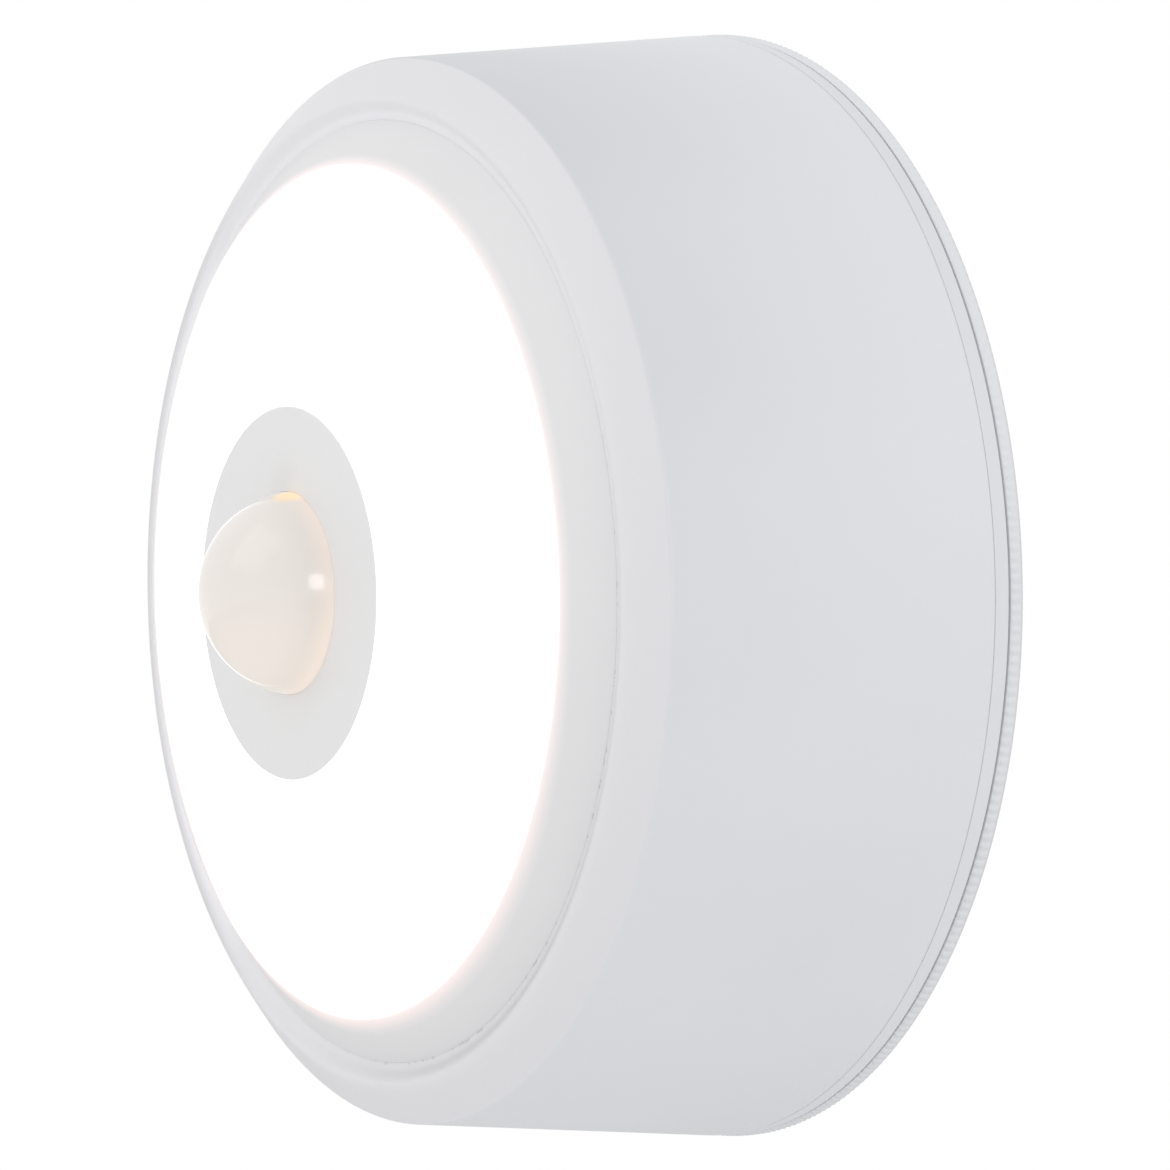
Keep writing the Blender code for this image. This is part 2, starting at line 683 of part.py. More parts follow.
def plate_ribs():
    """Two low ribs behind the rows of cells, which stop them from falling out of the tray."""
    shape = bmesh.new()
    bottom = PLATE_TOP - EMBED
    top = CELL_BOTTOM - PLATE_RIB_ROOM
    for side in (-1, 1):
        centre = (0, side * CELL_ROW_Y, (bottom + top) / 2)
        add_box(shape, centre, (2 * PLATE_RIB_HALF_LENGTH, PLATE_RIB_WIDTH, top - bottom))
    return object_from_bmesh("plate_ribs", shape, CUTTERS, BENCH)


def make_mounting_plate():
    plate = disc("mounting_plate", RIM_RADIUS, 0, PLATE_TOP, LARGE_STEPS, BENCH, WHITE_PLASTIC)
    join(plate, plate_ribs(), *keyhole_lands(), *hooks())
    cut(plate, *keyhole_cutters())
    shade(plate)


# Battery tray


def column_places():
    return ring_places(COLUMN_PLACE, COLUMN_COUNT, pi / COLUMN_COUNT)


def hook_slots():
    """The arc slots that the hooks enter and turn along."""
    for index in range(HOOK_COUNT):
        end = 2 * pi * index / HOOK_COUNT + HOOK_POST_ANGLE / 2 + HOOK_ANGLE_CLEARANCE
        yield sector(
            f"hook_slot_{index + 1}",
            (HOOK_INNER_RADIUS - HOOK_CLEARANCE, HOOK_OUTER_RADIUS + HOOK_CLEARANCE),
            (end - HOOK_POST_ANGLE - 2 * HOOK_ANGLE_CLEARANCE - TWIST, end),
            (FLANGE_BOTTOM - OVERRUN, FLANGE_TOP + OVERRUN),
            LIGHT,
        )


def board_screw_places():
    return [(-BOARD_SCREW_X, BOARD_SCREW_Y), (BOARD_SCREW_X, BOARD_SCREW_Y)]


def tower_screw_places():
    return [(-TOWER_SCREW_PLACE, 0), (TOWER_SCREW_PLACE, 0)]


def lead_hole(name, y, lift):
    """A hole through the pocket's left end wall, along X."""
    made = pegs(name, [(0, 0)], LEAD_RADIUS + LEAD_HOLE_ROOM, -POCKET_WALL, POCKET_WALL)
    made.rotation_euler = (0, pi / 2, 0)
    made.location = (-POCKET_HALF_LENGTH - POCKET_WALL / 2, y, CELL_AXIS + lift)
    return made


def knob_room(name, bottom, top):
    """The space that the switch's knob slides in, between two heights."""
    size = (KNOB_LENGTH + 2 * (SWITCH_TRAVEL + GAP), KNOB_WIDTH + 2 * GAP, top - bottom)
    return box(name, (0, BOARD_Y, (bottom + top) / 2), size, CUTTERS, LIGHT)


def tray_bosses():
    """The screw cups at the columns, the bosses under the control board and those under the tower."""
    bottom = FLANGE_BOTTOM + EMBED
    yield pegs("screw_cups", column_places(), CUP_RADIUS, bottom, CUP_TOP, CUP_STEPS)
    bottom = FLANGE_TOP - EMBED
    yield pegs("board_bosses", board_screw_places(), BOARD_BOSS_RADIUS, bottom, BOARD_BOTTOM - GAP)
    bottom = POCKET_CEILING - TOWER_BOSS_LENGTH
    yield pegs("tower_bosses", tower_screw_places(), TOWER_BOSS_RADIUS, bottom, POCKET_CEILING + EMBED)


def tray_bores():
    hole = SCREW_RADIUS + GAP
    bottom = FLANGE_BOTTOM - OVERRUN
    yield pegs("cup_bores", column_places(), SCREW_HEAD_RADIUS + GAP, bottom, CUP_SEAT, CUP_STEPS)
    yield pegs("cup_holes", column_places(), hole, CUP_SEAT - OVERRUN, CUP_TOP + OVERRUN)
    bottom = BOARD_TOP - BOARD_SCREW_LENGTH - GAP
    yield pegs("board_boss_bores", board_screw_places(), hole, bottom, BOARD_BOTTOM)
    bottom = POCKET_CEILING - TOWER_BOSS_LENGTH - OVERRUN
    yield pegs("tower_boss_bores", tower_screw_places(), hole, bottom, TRAY_TOP + OVERRUN)


def make_battery_tray():
    tray = disc("battery_tray", FLANGE_RADIUS, FLANGE_BOTTOM, FLANGE_TOP, LARGE_STEPS, LIGHT, BACK_PLASTIC)
    outside = pocket_outline(POCKET_OUTER_LENGTH, POCKET_OUTER_WIDTH)
    join(tray, prism("pocket_outside", outside, FLANGE_BOTTOM + EMBED, TRAY_TOP, CUTTERS, LIGHT))
    inside = pocket_outline(POCKET_HALF_LENGTH, POCKET_HALF_WIDTH)
    cut(tray, prism("pocket_inside", inside, FLANGE_BOTTOM - OVERRUN, POCKET_CEILING, CUTTERS, LIGHT))
    join(tray, *tray_bosses())
    cut(
        tray,
        *tray_bores(),
        lead_hole("black_lead_hole", CELL_ROW_Y, BLACK_LEAD_LIFT),
        lead_hole("red_lead_hole", -CELL_ROW_Y, RED_LEAD_LIFT),
        knob_room("switch_slot", FLANGE_BOTTOM - OVERRUN, FLANGE_TOP + OVERRUN),
        *hook_slots(),
    )
    shade(tray)


# Cells, contacts and springs


def make_cells():
    """Four D cells. The top row's positive ends point to +X, the bottom row's to -X."""
    profile = [
        (0, CELL_LENGTH),
        (CELL_TERMINAL_RADIUS, CELL_LENGTH),
        (CELL_TERMINAL_RADIUS, CELL_LENGTH - CELL_TERMINAL_HEIGHT),
        (CELL_RADIUS - CELL_EDGE, CELL_LENGTH - CELL_TERMINAL_HEIGHT),
        (CELL_RADIUS, CELL_LENGTH - CELL_TERMINAL_HEIGHT - CELL_EDGE),
        (CELL_RADIUS, CELL_EDGE),
        (CELL_RADIUS - CELL_EDGE, 0),
        (0, 0),
    ]
    positive_end = POCKET_HALF_LENGTH - CELL_END_ROOM
    for index in range(2 * CELLS_PER_ROW):
        row = 1 if index < CELLS_PER_ROW else -1
        start = positive_end - CELL_LENGTH - (index % CELLS_PER_ROW) * (CELL_LENGTH + GAP)
        cell = turned(f"battery_{index + 1}", profile, CELL_STEPS, PARTS, LIGHT, CELL_SLEEVE, closed=False)
        cell.location = (row * start, row * CELL_ROW_Y, CELL_AXIS)
        cell.rotation_euler = (0, row * pi / 2, 0)


def contact(name, side, y, width):
    """A sheet contact on the pocket's end wall, with its corners cut."""
    outline = cut_corner_outline(CONTACT_HEIGHT / 2, width / 2, CONTACT_CORNER, CONTACT_CORNER)
    made = prism(name, outline, -CONTACT_THICKNESS / 2, CONTACT_THICKNESS / 2, PARTS, LIGHT, SPRING_STEEL)
    made.rotation_euler = (0, pi / 2, 0)
    made.location = (side * (POCKET_HALF_LENGTH - GAP - CONTACT_THICKNESS / 2), y, CELL_AXIS)


def make_contacts():
    contact("contact_negative", -1, CELL_ROW_Y, CONTACT_WIDTH)
    contact("contact_positive", -1, -CELL_ROW_Y, CONTACT_WIDTH)
    contact("contact_bridge", 1, 0, CONTACT_WIDTH + 2 * CELL_ROW_Y)


def spring_points():
    """A conical coil along +Z, wide at its foot on the contact."""
    count = SPRING_TURNS * SPRING_POINTS_PER_TURN
    rise = SPRING_LENGTH - 2 * SPRING_WIRE_RADIUS
    for step in range(count + 1):
        share = step / count
        angle = 2 * pi * SPRING_TURNS * share
        radius = SPRING_WIDE_RADIUS + (SPRING_NARROW_RADIUS - SPRING_WIDE_RADIUS) * share
        yield (radius * cos(angle), radius * sin(angle), SPRING_WIRE_RADIUS + rise * share)


def tube(name, points, radius, finish, resolution=LEAD_TUBE_RESOLUTION):
    curve = bpy.data.curves.new(name, "CURVE")
    curve.dimensions = "3D"
    curve.bevel_depth = radius
    curve.bevel_resolution = resolution
    curve.use_fill_caps = True
    spline = curve.splines.new("POLY")
    spline.points.add(len(points) - 1)
    for point, spot in zip(spline.points, points):
        point.co = (*spot, 1)
    return place(bpy.data.objects.new(name, curve), PARTS, LIGHT, finish)


def least_gap(points, wire_radius, apart):
    """The least free space between points of a tube that lie at least apart points from each other."""
    spans = [
        hypot(*(a - b for a, b in zip(first, second)))
        for index, first in enumerate(points)
        for second in points[index + apart :]
    ]
    return min(spans) - 2 * wire_radius


def make_springs():
    points = list(spring_points())
    gap = least_gap(points, SPRING_WIRE_RADIUS, SPRING_POINTS_PER_TURN - 2)
    print(f"contact springs: least gap to themselves {gap * 1000:.2f} mm")
    foot = POCKET_HALF_LENGTH - CELL_END_ROOM
    for index, side in enumerate((-1, 1)):
        name = f"contact_spring_{index + 1}"
        spring = tube(name, points, SPRING_WIRE_RADIUS, SPRING_STEEL, SPRING_TUBE_RESOLUTION)
        spring.location = (side * foot, -side * CELL_ROW_Y, CELL_AXIS)
        spring.rotation_euler = (0, -side * pi / 2, 0)


# Housing


def crown_rise():
    """From the joint line at the face up to the crown of the nose."""
    for step in range(CROWN_POINTS + 1):
        angle = pi / 2 * step / CROWN_POINTS
        yield (CROWN_RADIUS - CROWN_INSET * cos(angle), LIP_TOP + CROWN_RISE * sin(angle))


def rounded_corner(before, corner, after):
    """Points of a curve that rounds a corner of the nose."""
    before, corner, after = Vector(before), Vector(corner), Vector(after)
    start = corner + (before - corner).normalized() * NOSE_ROUND
    end = corner + (after - corner).normalized() * NOSE_ROUND
    for step in range(NOSE_ROUND_POINTS + 1):
        share = step / NOSE_ROUND_POINTS
        spot = start.lerp(corner, share).lerp(corner.lerp(end, share), share)
        yield (spot.x, spot.y)


def make_housing():
    crown = (CROWN_RADIUS, CROWN_TOP)
    crown_edge = (CROWN_EDGE_RADIUS, CROWN_TOP)
    shoulder = (WALL_TOP_RADIUS, SHOULDER)
    base = (FLANGE_RADIUS, HOUSING_BOTTOM + BASE_EDGE)
    nose = [*rounded_corner(crown, crown_edge, shoulder), *rounded_corner(crown_edge, shoulder, base)]
    setback = WALL * NOSE_SETBACK_SHARE
    inside = [
        (FLANGE_RADIUS - BASE_EDGE, HOUSING_BOTTOM),
        (FLANGE_RADIUS - WALL, HOUSING_BOTTOM),
        (WALL_TOP_RADIUS - WALL, SHOULDER - setback),
        (CROWN_EDGE_RADIUS - setback, CROWN_TOP - WALL),
        (DIFFUSER_FLANGE_RADIUS + GAP, LIP_BOTTOM),
        (SEAM_RADIUS, LIP_BOTTOM),
    ]
    profile = [*crown_rise(), *nose, base, *inside]
    housing = turned("housing", profile, LARGE_STEPS, PARTS, LIGHT, WHITE_PLASTIC)
    bottom = CUP_TOP + GAP
    join(housing, pegs("screw_columns", column_places(), COLUMN_RADIUS, bottom, SHOULDER))
    bore = SCREW_RADIUS + GAP
    cut(housing, pegs("column_bores", column_places(), bore, bottom - OVERRUN, bottom + COLUMN_BORE_DEPTH))


# Inner frame, LED board, LEDs and reflector


def led_screw_places():
    angles = (LED_SCREW_ANGLE, pi - LED_SCREW_ANGLE, pi + LED_SCREW_ANGLE, -LED_SCREW_ANGLE)
    return [(LED_SCREW_PLACE * cos(angle), LED_SCREW_PLACE * sin(angle)) for angle in angles]


def make_led_carrier():
    carrier = disc(
        "led_carrier", CARRIER_RADIUS, CARRIER_BOTTOM, CARRIER_RIM_TOP, LARGE_STEPS, LIGHT, BACK_PLASTIC
    )
    hollow_radius = CARRIER_RADIUS - CARRIER_RIM_WALL
    hollow_top = CARRIER_RIM_TOP + OVERRUN
    cut(carrier, pegs("carrier_hollow", [(0, 0)], hollow_radius, CARRIER_TOP, hollow_top, LARGE_STEPS))
    boss_heights = (CARRIER_TOP - EMBED, CARRIER_TOP + LED_BOSS_HEIGHT)
    join(carrier, pegs("led_bosses", led_screw_places(), LED_BOSS_RADIUS, *boss_heights))
    through = (CARRIER_BOTTOM - OVERRUN, LED_BOARD_BOTTOM + OVERRUN)
    screw_places = led_screw_places() + tower_screw_places()
    cable_places = [LED_CABLE_HOLE_PLACE, SENSOR_CABLE_HOLE_PLACE]
    cut(
        carrier,
        pegs("carrier_holes", screw_places, SCREW_RADIUS + GAP, *through),
        pegs("cable_holes", cable_places, CABLE_HOLE_RADIUS, *through),
    )
    shade(carrier)


def make_seal():
    inner = DIFFUSER_FLANGE_RADIUS - SEAL_WIDTH
    profile = [
        (DIFFUSER_FLANGE_RADIUS, SEAL_TOP),
        (DIFFUSER_FLANGE_RADIUS, SEAL_BOTTOM),
        (inner, SEAL_BOTTOM),
        (inner, SEAL_TOP),
    ]
    turned("diffuser_seal", profile, LARGE_STEPS, PARTS, LIGHT, SEAL_RUBBER)


def make_led_board():
    profile = [
        (LED_BOARD_OUTER_RADIUS, LED_BOARD_TOP),
        (LED_BOARD_OUTER_RADIUS, LED_BOARD_BOTTOM),
        (LED_BOARD_INNER_RADIUS, LED_BOARD_BOTTOM),
        (LED_BOARD_INNER_RADIUS, LED_BOARD_TOP),
    ]
    board = turned("led_board", profile, MIDDLE_STEPS, PARTS, LIGHT, BOARD_WHITE)
    through = (LED_BOARD_BOTTOM - OVERRUN, LED_BOARD_TOP + OVERRUN)
    cut(board, pegs("led_board_holes", led_screw_places(), SCREW_RADIUS + GAP, *through))


def led_places():
    return ring_places(LED_RING_RADIUS, LED_COUNT, pi / LED_COUNT)


def make_leds():
    bottom = LED_BOARD_TOP + GAP
    for index, (x, y) in enumerate(led_places()):
        led = box(
            f"led_{index + 1}",
            (0, 0, LED_HEIGHT / 2),
            (LED_SIZE, LED_SIZE, LED_HEIGHT),
            PARTS,
            LIGHT,
            LED_YELLOW,
        )
        led.location = (x, y, bottom)
        led.rotation_euler = (0, 0, pi / LED_COUNT + 2 * pi * index / LED_COUNT)
        round_edges(led, LED_EDGE)


def make_reflector():
    """A dish whose floor lies on the LED board and whose cone ends just behind the edge of the lit face."""
    inner = LED_BOARD_INNER_RADIUS - GAP
    top_radius = LIT_RADIUS - REFLECTOR_WALL
    profile = [
        (top_radius + REFLECTOR_WALL, REFLECTOR_TOP),
        (REFLECTOR_FLOOR_RADIUS + REFLECTOR_WALL, REFLECTOR_BOTTOM),
        (inner, REFLECTOR_BOTTOM),
        (inner, REFLECTOR_FLOOR_TOP),
        (REFLECTOR_FLOOR_RADIUS, REFLECTOR_FLOOR_TOP),
        (top_radius, REFLECTOR_TOP),
    ]
    reflector = turned("reflector", profile, LARGE_STEPS, PARTS, LIGHT, REFLECTOR_WHITE)
    through = (REFLECTOR_BOTTOM - OVERRUN, REFLECTOR_FLOOR_TOP + OVERRUN)
    window_radius = hypot(LED_SIZE, LED_SIZE) / 2 + REFLECTOR_WINDOW_ROOM
    cut(
        reflector,
        pegs("led_windows", led_places(), window_radius, *through, SMALL_STEPS),
        pegs("reflector_holes", led_screw_places(), SCREW_RADIUS + GAP, *through),
    )


# Diffuser


def dome_height(radius):
    """Height of the lit face's outside at a radius: a parabola through the disc's edge and the band's top."""
    share = (radius**2 - DIFFUSER_HOLE_RADIUS**2) / (LIT_RADIUS**2 - DIFFUSER_HOLE_RADIUS**2)
    return DISC_TOP - DOME_RISE * share


def make_diffuser():
    radii = [
        DIFFUSER_HOLE_RADIUS + (LIT_RADIUS - DIFFUSER_HOLE_RADIUS) * step / DOME_POINTS
        for step in range(DOME_POINTS + 1)
    ]
    outside = [(radius, dome_height(radius)) for radius in radii]
    landing_radius = TOWER_FLANGE_RADIUS + GAP
    inside = [
        (radius, dome_height(radius) - DIFFUSER_WALL)
        for radius in (
            LIT_RADIUS + (landing_radius - LIT_RADIUS) * step / DOME_INNER_POINTS
            for step in range(DOME_INNER_POINTS + 1)
        )
    ]
    landing = [(landing_radius, DISC_BOTTOM), (DIFFUSER_HOLE_RADIUS, DISC_BOTTOM)]
    skirt_inner = DIFFUSER_RADIUS - DIFFUSER_WALL
    profile = (
        outside
        + [
            (DIFFUSER_RADIUS, BAND_BOTTOM),
            (DIFFUSER_RADIUS, DIFFUSER_FLANGE_TOP),
            (DIFFUSER_FLANGE_RADIUS, DIFFUSER_FLANGE_TOP),
            (DIFFUSER_FLANGE_RADIUS, DIFFUSER_BOTTOM),
            (skirt_inner, DIFFUSER_BOTTOM),
            (skirt_inner, BAND_BOTTOM - DIFFUSER_WALL / 2),
        ]
        + inside
        + landing
    )
    turned("diffuser", profile, LARGE_STEPS, PARTS, LIGHT, OPAL_PLASTIC)


# Sensor tower, bezel, lens and sensor board


def make_sensor_tower():
    ledge_inner = TOWER_INNER_RADIUS - TOWER_LEDGE_WIDTH
    ledge_top = SENSOR_BOARD_BOTTOM - GAP
    ledge_bottom = ledge_top - TOWER_LEDGE_THICKNESS
    flange_bottom = TOWER_TOP - TOWER_FLANGE_THICKNESS
    profile = [
        (0, TOWER_FLOOR_TOP),
        (TOWER_INNER_RADIUS, TOWER_FLOOR_TOP),
        (TOWER_INNER_RADIUS, ledge_bottom),
        (ledge_inner, ledge_bottom),
        (ledge_inner, ledge_top),
        (TOWER_INNER_RADIUS, ledge_top),
        (TOWER_INNER_RADIUS, TOWER_TOP),
        (TOWER_FLANGE_RADIUS, TOWER_TOP),
        (TOWER_FLANGE_RADIUS, flange_bottom),
        (TOWER_RADIUS, flange_bottom),
        (TOWER_RADIUS, TOWER_BOTTOM),
        (0, TOWER_BOTTOM),
    ]
    tower = turned("sensor_tower", profile, MIDDLE_STEPS, PARTS, LIGHT, WHITE_PLASTIC, closed=False)
    through = (TOWER_BOTTOM - OVERRUN, TOWER_FLOOR_TOP + OVERRUN)
    holes = pegs("tower_holes", tower_screw_places(), SCREW_RADIUS + GAP, *through)
    notch_x, notch_start = CABLE_NOTCH_PLACE
    notch_end = TOWER_RADIUS + OVERRUN
    notch_bottom = TOWER_BOTTOM - OVERRUN
    notch_top = TOWER_BOTTOM + CABLE_NOTCH_HEIGHT
    notch = box(
        "cable_notch",
        (notch_x, (notch_start + notch_end) / 2, (notch_bottom + notch_top) / 2),
        (CABLE_NOTCH_WIDTH, notch_end - notch_start, notch_top - notch_bottom),
        CUTTERS,
        LIGHT,
    )
    cut(tower, holes, notch)


def make_bezel():
    skirt_bottom = SENSOR_BOARD_TOP + GAP
    skirt_inner = BEZEL_SKIRT_RADIUS - BEZEL_SKIRT_WALL
    profile = [
        (BEZEL_HOLE_RADIUS, DISC_TOP),
        (BEZEL_RADIUS - BEZEL_EDGE, DISC_TOP),
        (BEZEL_RADIUS, DISC_TOP - BEZEL_EDGE),
        (BEZEL_RADIUS, DISC_BOTTOM),
        (BEZEL_SKIRT_RADIUS, DISC_BOTTOM),
        (BEZEL_SKIRT_RADIUS, skirt_bottom),
        (skirt_inner, skirt_bottom),
        (skirt_inner, DISC_BOTTOM),
        (BEZEL_HOLE_RADIUS, DISC_BOTTOM),
    ]
    turned("sensor_bezel", profile, MIDDLE_STEPS, PARTS, LIGHT, WHITE_PLASTIC)


def quarter_arc(radius, centre_height, count):
    """From the top of a dome down to its base."""
    return [
        (radius * sin(pi / 2 * step / count), centre_height + radius * cos(pi / 2 * step / count))
        for step in range(count + 1)
    ]


def make_lens():
    flange_radius = LENS_RADIUS + LENS_FLANGE_WIDTH
    flange_bottom = LENS_BASE - LENS_FLANGE_THICKNESS
    inside = quarter_arc(LENS_RADIUS - LENS_WALL, LENS_BASE, LENS_POINTS // 2)
    profile = (
        quarter_arc(LENS_RADIUS, LENS_BASE, LENS_POINTS)
        + [
            (flange_radius, LENS_BASE),
            (flange_radius, flange_bottom),
            (LENS_RADIUS - LENS_WALL, flange_bottom),
        ]
        + inside[::-1]
    )
    turned("sensor_lens", profile, LENS_STEPS, PARTS, LIGHT, LENS_PLASTIC, closed=False)


def make_sensor_board():
    disc(
        "sensor_board",
        BEZEL_SKIRT_RADIUS,
        SENSOR_BOARD_BOTTOM,
        SENSOR_BOARD_TOP,
        MIDDLE_STEPS,
        LIGHT,
        BOARD_GREEN,
    )
    seat = SENSOR_BOARD_TOP + GAP
    foot_radius = SENSOR_CAN_RADIUS + SENSOR_CAN_FOOT_WIDTH
    can = [
        (0, seat + SENSOR_CAN_HEIGHT),
        (SENSOR_CAN_RADIUS, seat + SENSOR_CAN_HEIGHT),
        (SENSOR_CAN_RADIUS, seat + SENSOR_CAN_FOOT_THICKNESS),
        (foot_radius, seat + SENSOR_CAN_FOOT_THICKNESS),
        (foot_radius, seat),
        (0, seat),
    ]
    turned("motion_sensor", can, CAN_STEPS, PARTS, LIGHT, CAN_STEEL, closed=False)
    photocell = disc("photocell", PHOTOCELL_RADIUS, 0, PHOTOCELL_HEIGHT, SMALL_STEPS, LIGHT, DARK_PLASTIC)
    photocell.location = (PHOTOCELL_PLACE, 0, seat)


# Control board and switch


def make_control_board():
    board = box(
        "control_board",
        (0, BOARD_Y, (BOARD_BOTTOM + BOARD_TOP) / 2),
        (BOARD_LENGTH, BOARD_WIDTH, BOARD_THICKNESS),
        PARTS,
        LIGHT,
        BOARD_GREEN,
    )
    through = (BOARD_BOTTOM - OVERRUN, BOARD_TOP + OVERRUN)
    cut(board, pegs("board_holes", board_screw_places(), SCREW_RADIUS + GAP, *through))


def round_part(name, spot, radius, height, finish):
    seat = BOARD_TOP + GAP
    profile = [
        (0, height),
        (radius - PART_EDGE, height),
        (radius, height - PART_EDGE),
        (radius, 0),
        (0, 0),
    ]
    made = turned(name, profile, SMALL_STEPS, PARTS, LIGHT, finish, closed=False)
    made.location = (*spot, seat)


def square_part(name, spot, size, finish):
    seat = BOARD_TOP + GAP
    made = box(name, (0, 0, size[2] / 2), size, PARTS, LIGHT, finish)
    made.location = (*spot, seat)
    round_edges(made, PART_EDGE)


def make_board_parts():
    round_part("capacitor", CAPACITOR_PLACE, CAPACITOR_RADIUS, CAPACITOR_HEIGHT, CELL_SLEEVE)
    round_part("inductor", INDUCTOR_PLACE, INDUCTOR_RADIUS, INDUCTOR_HEIGHT, DARK_PLASTIC)
    chip = (DRIVER_CHIP_LENGTH, DRIVER_CHIP_WIDTH, DRIVER_CHIP_HEIGHT)
    square_part("driver_chip", DRIVER_CHIP_PLACE, chip, DARK_PLASTIC)
    connector = (CONNECTOR_LENGTH, CONNECTOR_WIDTH, CONNECTOR_HEIGHT)
    square_part("battery_connector", BATTERY_CONNECTOR_PLACE, connector, OPAL_PLASTIC)
    square_part("sensor_connector", SENSOR_CONNECTOR_PLACE, connector, OPAL_PLASTIC)
    square_part("led_connector", LED_CONNECTOR_PLACE, connector, OPAL_PLASTIC)


def make_mode_switch():
    """The switch sits between the flange and the control board; its knob stands in the flange's slot."""
    bottom = FLANGE_TOP + GAP
    top = BOARD_BOTTOM - GAP
    body = box(
        "mode_switch_body",
        (0, BOARD_Y, (bottom + top) / 2),
        (SWITCH_LENGTH, SWITCH_WIDTH, top - bottom),
        PARTS,
        LIGHT,
        DARK_PLASTIC,
    )
    knob_bottom = FLANGE_BOTTOM + GAP
    cut(body, knob_room("switch_channel", bottom - OVERRUN, knob_bottom + KNOB_DEPTH + GAP))
    knob = box(
        "mode_switch_knob",
        (0, 0, KNOB_DEPTH / 2),
        (KNOB_LENGTH, KNOB_WIDTH, KNOB_DEPTH),
        PARTS,
        LIGHT,
        DARK_PLASTIC,
    )
    knob.location = (0, BOARD_Y, knob_bottom)


# Leads


def between(before, start, end, after, share):
    """A value on the smooth (Catmull-Rom) curve between start and end."""
    slope = (end - before) * share
    bend = (2 * before - 5 * start + 4 * end - after) * share**2
    turn = (3 * start - before - 3 * end + after) * share**3
    return (2 * start + slope + bend + turn) / 2


def smooth_route(points, per_span):
    """Points along a smooth curve through the route's own points."""
    ends = [points[0], *points, points[-1]]
    route = []
    for around in zip(ends, ends[1:], ends[2:], ends[3:]):
        for step in range(per_span):
            route.append(tuple(between(*values, step / per_span) for values in zip(*around)))
    return route + [points[-1]]


def pocket_route(bend_shares):
    """Points from shares of the battery pocket's outer sizes and of the cells' height."""
    sizes = (POCKET_OUTER_LENGTH, POCKET_OUTER_WIDTH, CELL_AXIS)
    return [tuple(share * size for share, size in zip(bend, sizes)) for bend in bend_shares]


def battery_lead(name, row, lift, bend_shares, pitch, finish):
    """A lead from the contact of one row of cells, through the pocket's wall, to the battery connector."""
    wall = (-POCKET_HALF_LENGTH, row * CELL_ROW_Y, CELL_AXIS + lift)
    x, y = BATTERY_CONNECTOR_PLACE
    end = (x - CONNECTOR_LENGTH / 2 - GAP, y + pitch, BOARD_TOP + GAP + CONNECTOR_HEIGHT / 2)
    route = smooth_route([wall, *pocket_route(bend_shares), end], LEAD_POINTS_PER_SPAN)
    tube(name, route, LEAD_RADIUS, finish)


def make_leads():
    pitch = CONNECTOR_WIDTH / 4
    battery_lead("battery_lead_black", 1, BLACK_LEAD_LIFT, BLACK_LEAD_BEND_SHARES, -pitch, BLACK_JACKET)
    battery_lead("battery_lead_red", -1, RED_LEAD_LIFT, RED_LEAD_BEND_SHARES, pitch, RED_JACKET)
    connector_top = BOARD_TOP + GAP + CONNECTOR_HEIGHT + GAP
    led = [
        (*LED_CONNECTOR_PLACE, connector_top),
        *LED_CABLE_BENDS,
        (*LED_CABLE_HOLE_PLACE, LED_BOARD_BOTTOM - GAP),
    ]
    sensor = [
        (*SENSOR_CONNECTOR_PLACE, connector_top),
        *SENSOR_CABLE_BENDS,
        (*SENSOR_CABLE_BENDS[-1][:2], SENSOR_BOARD_BOTTOM - GAP),
    ]
    tube("led_cable", smooth_route(led, LED_CABLE_POINTS_PER_SPAN), CABLE_RADIUS, GREY_JACKET)
    tube("sensor_cable", smooth_route(sensor, LEAD_POINTS_PER_SPAN), CABLE_RADIUS, GREY_JACKET)


# Screws


def make_screws():
    for index, (x, y) in enumerate(column_places()):
        screw(f"housing_screw_{index + 1}", x, y, CUP_SEAT, 1, HOUSING_SCREW_LENGTH)
    for index, (x, y) in enumerate(led_screw_places()):
        screw(f"led_screw_{index + 1}", x, y, REFLECTOR_FLOOR_TOP, -1, LED_SCREW_LENGTH)
    for index, (x, y) in enumerate(tower_screw_places()):
        screw(f"tower_screw_{index + 1}", x, y, TOWER_FLOOR_TOP, -1, TOWER_SCREW_LENGTH)
    for index, (x, y) in enumerate(board_screw_places()):
        screw(f"board_screw_{index + 1}", x, y, BOARD_TOP, -1, BOARD_SCREW_LENGTH)


make_mounting_plate()
make_battery_tray()
make_cells()
make_contacts()
make_springs()
make_housing()
make_led_carrier()
make_seal()
make_led_board()
make_leds()
make_reflector()
make_diffuser()
make_sensor_tower()
make_bezel()
make_lens()
make_sensor_board()
make_control_board()
make_board_parts()
make_mode_switch()
make_leads()
make_screws()

sizes = {
    "rim radius": RIM_RADIUS,
    "seam radius": SEAM_RADIUS,
    "lit radius": LIT_RADIUS,
    "shoulder": SHOULDER,
    "lip top": LIP_TOP,
    "band top": BAND_TOP,
    "disc top": DISC_TOP,
    "lens top": LENS_BASE + LENS_RADIUS,
}
print(", ".join(f"{name} {value * 1000:.2f} mm" for name, value in sizes.items()))
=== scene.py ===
"""Looks of a battery-powered ceiling light with a motion sensor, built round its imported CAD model.

Lengths are in metres. The light's axis is the frame's Y axis: the mounting face lies on y = 0 and the light
faces -Y. Each piece is drawn as the light lies on a bench, mounting face down and axis up, in profiles of
(radius, height) and outlines of (x, y), and is then tipped forward into the frame.
"""

import json
from math import asin, atan2, cos, hypot, pi, radians, sin, sqrt

import bmesh
import bpy
from mathutils import Matrix, Vector


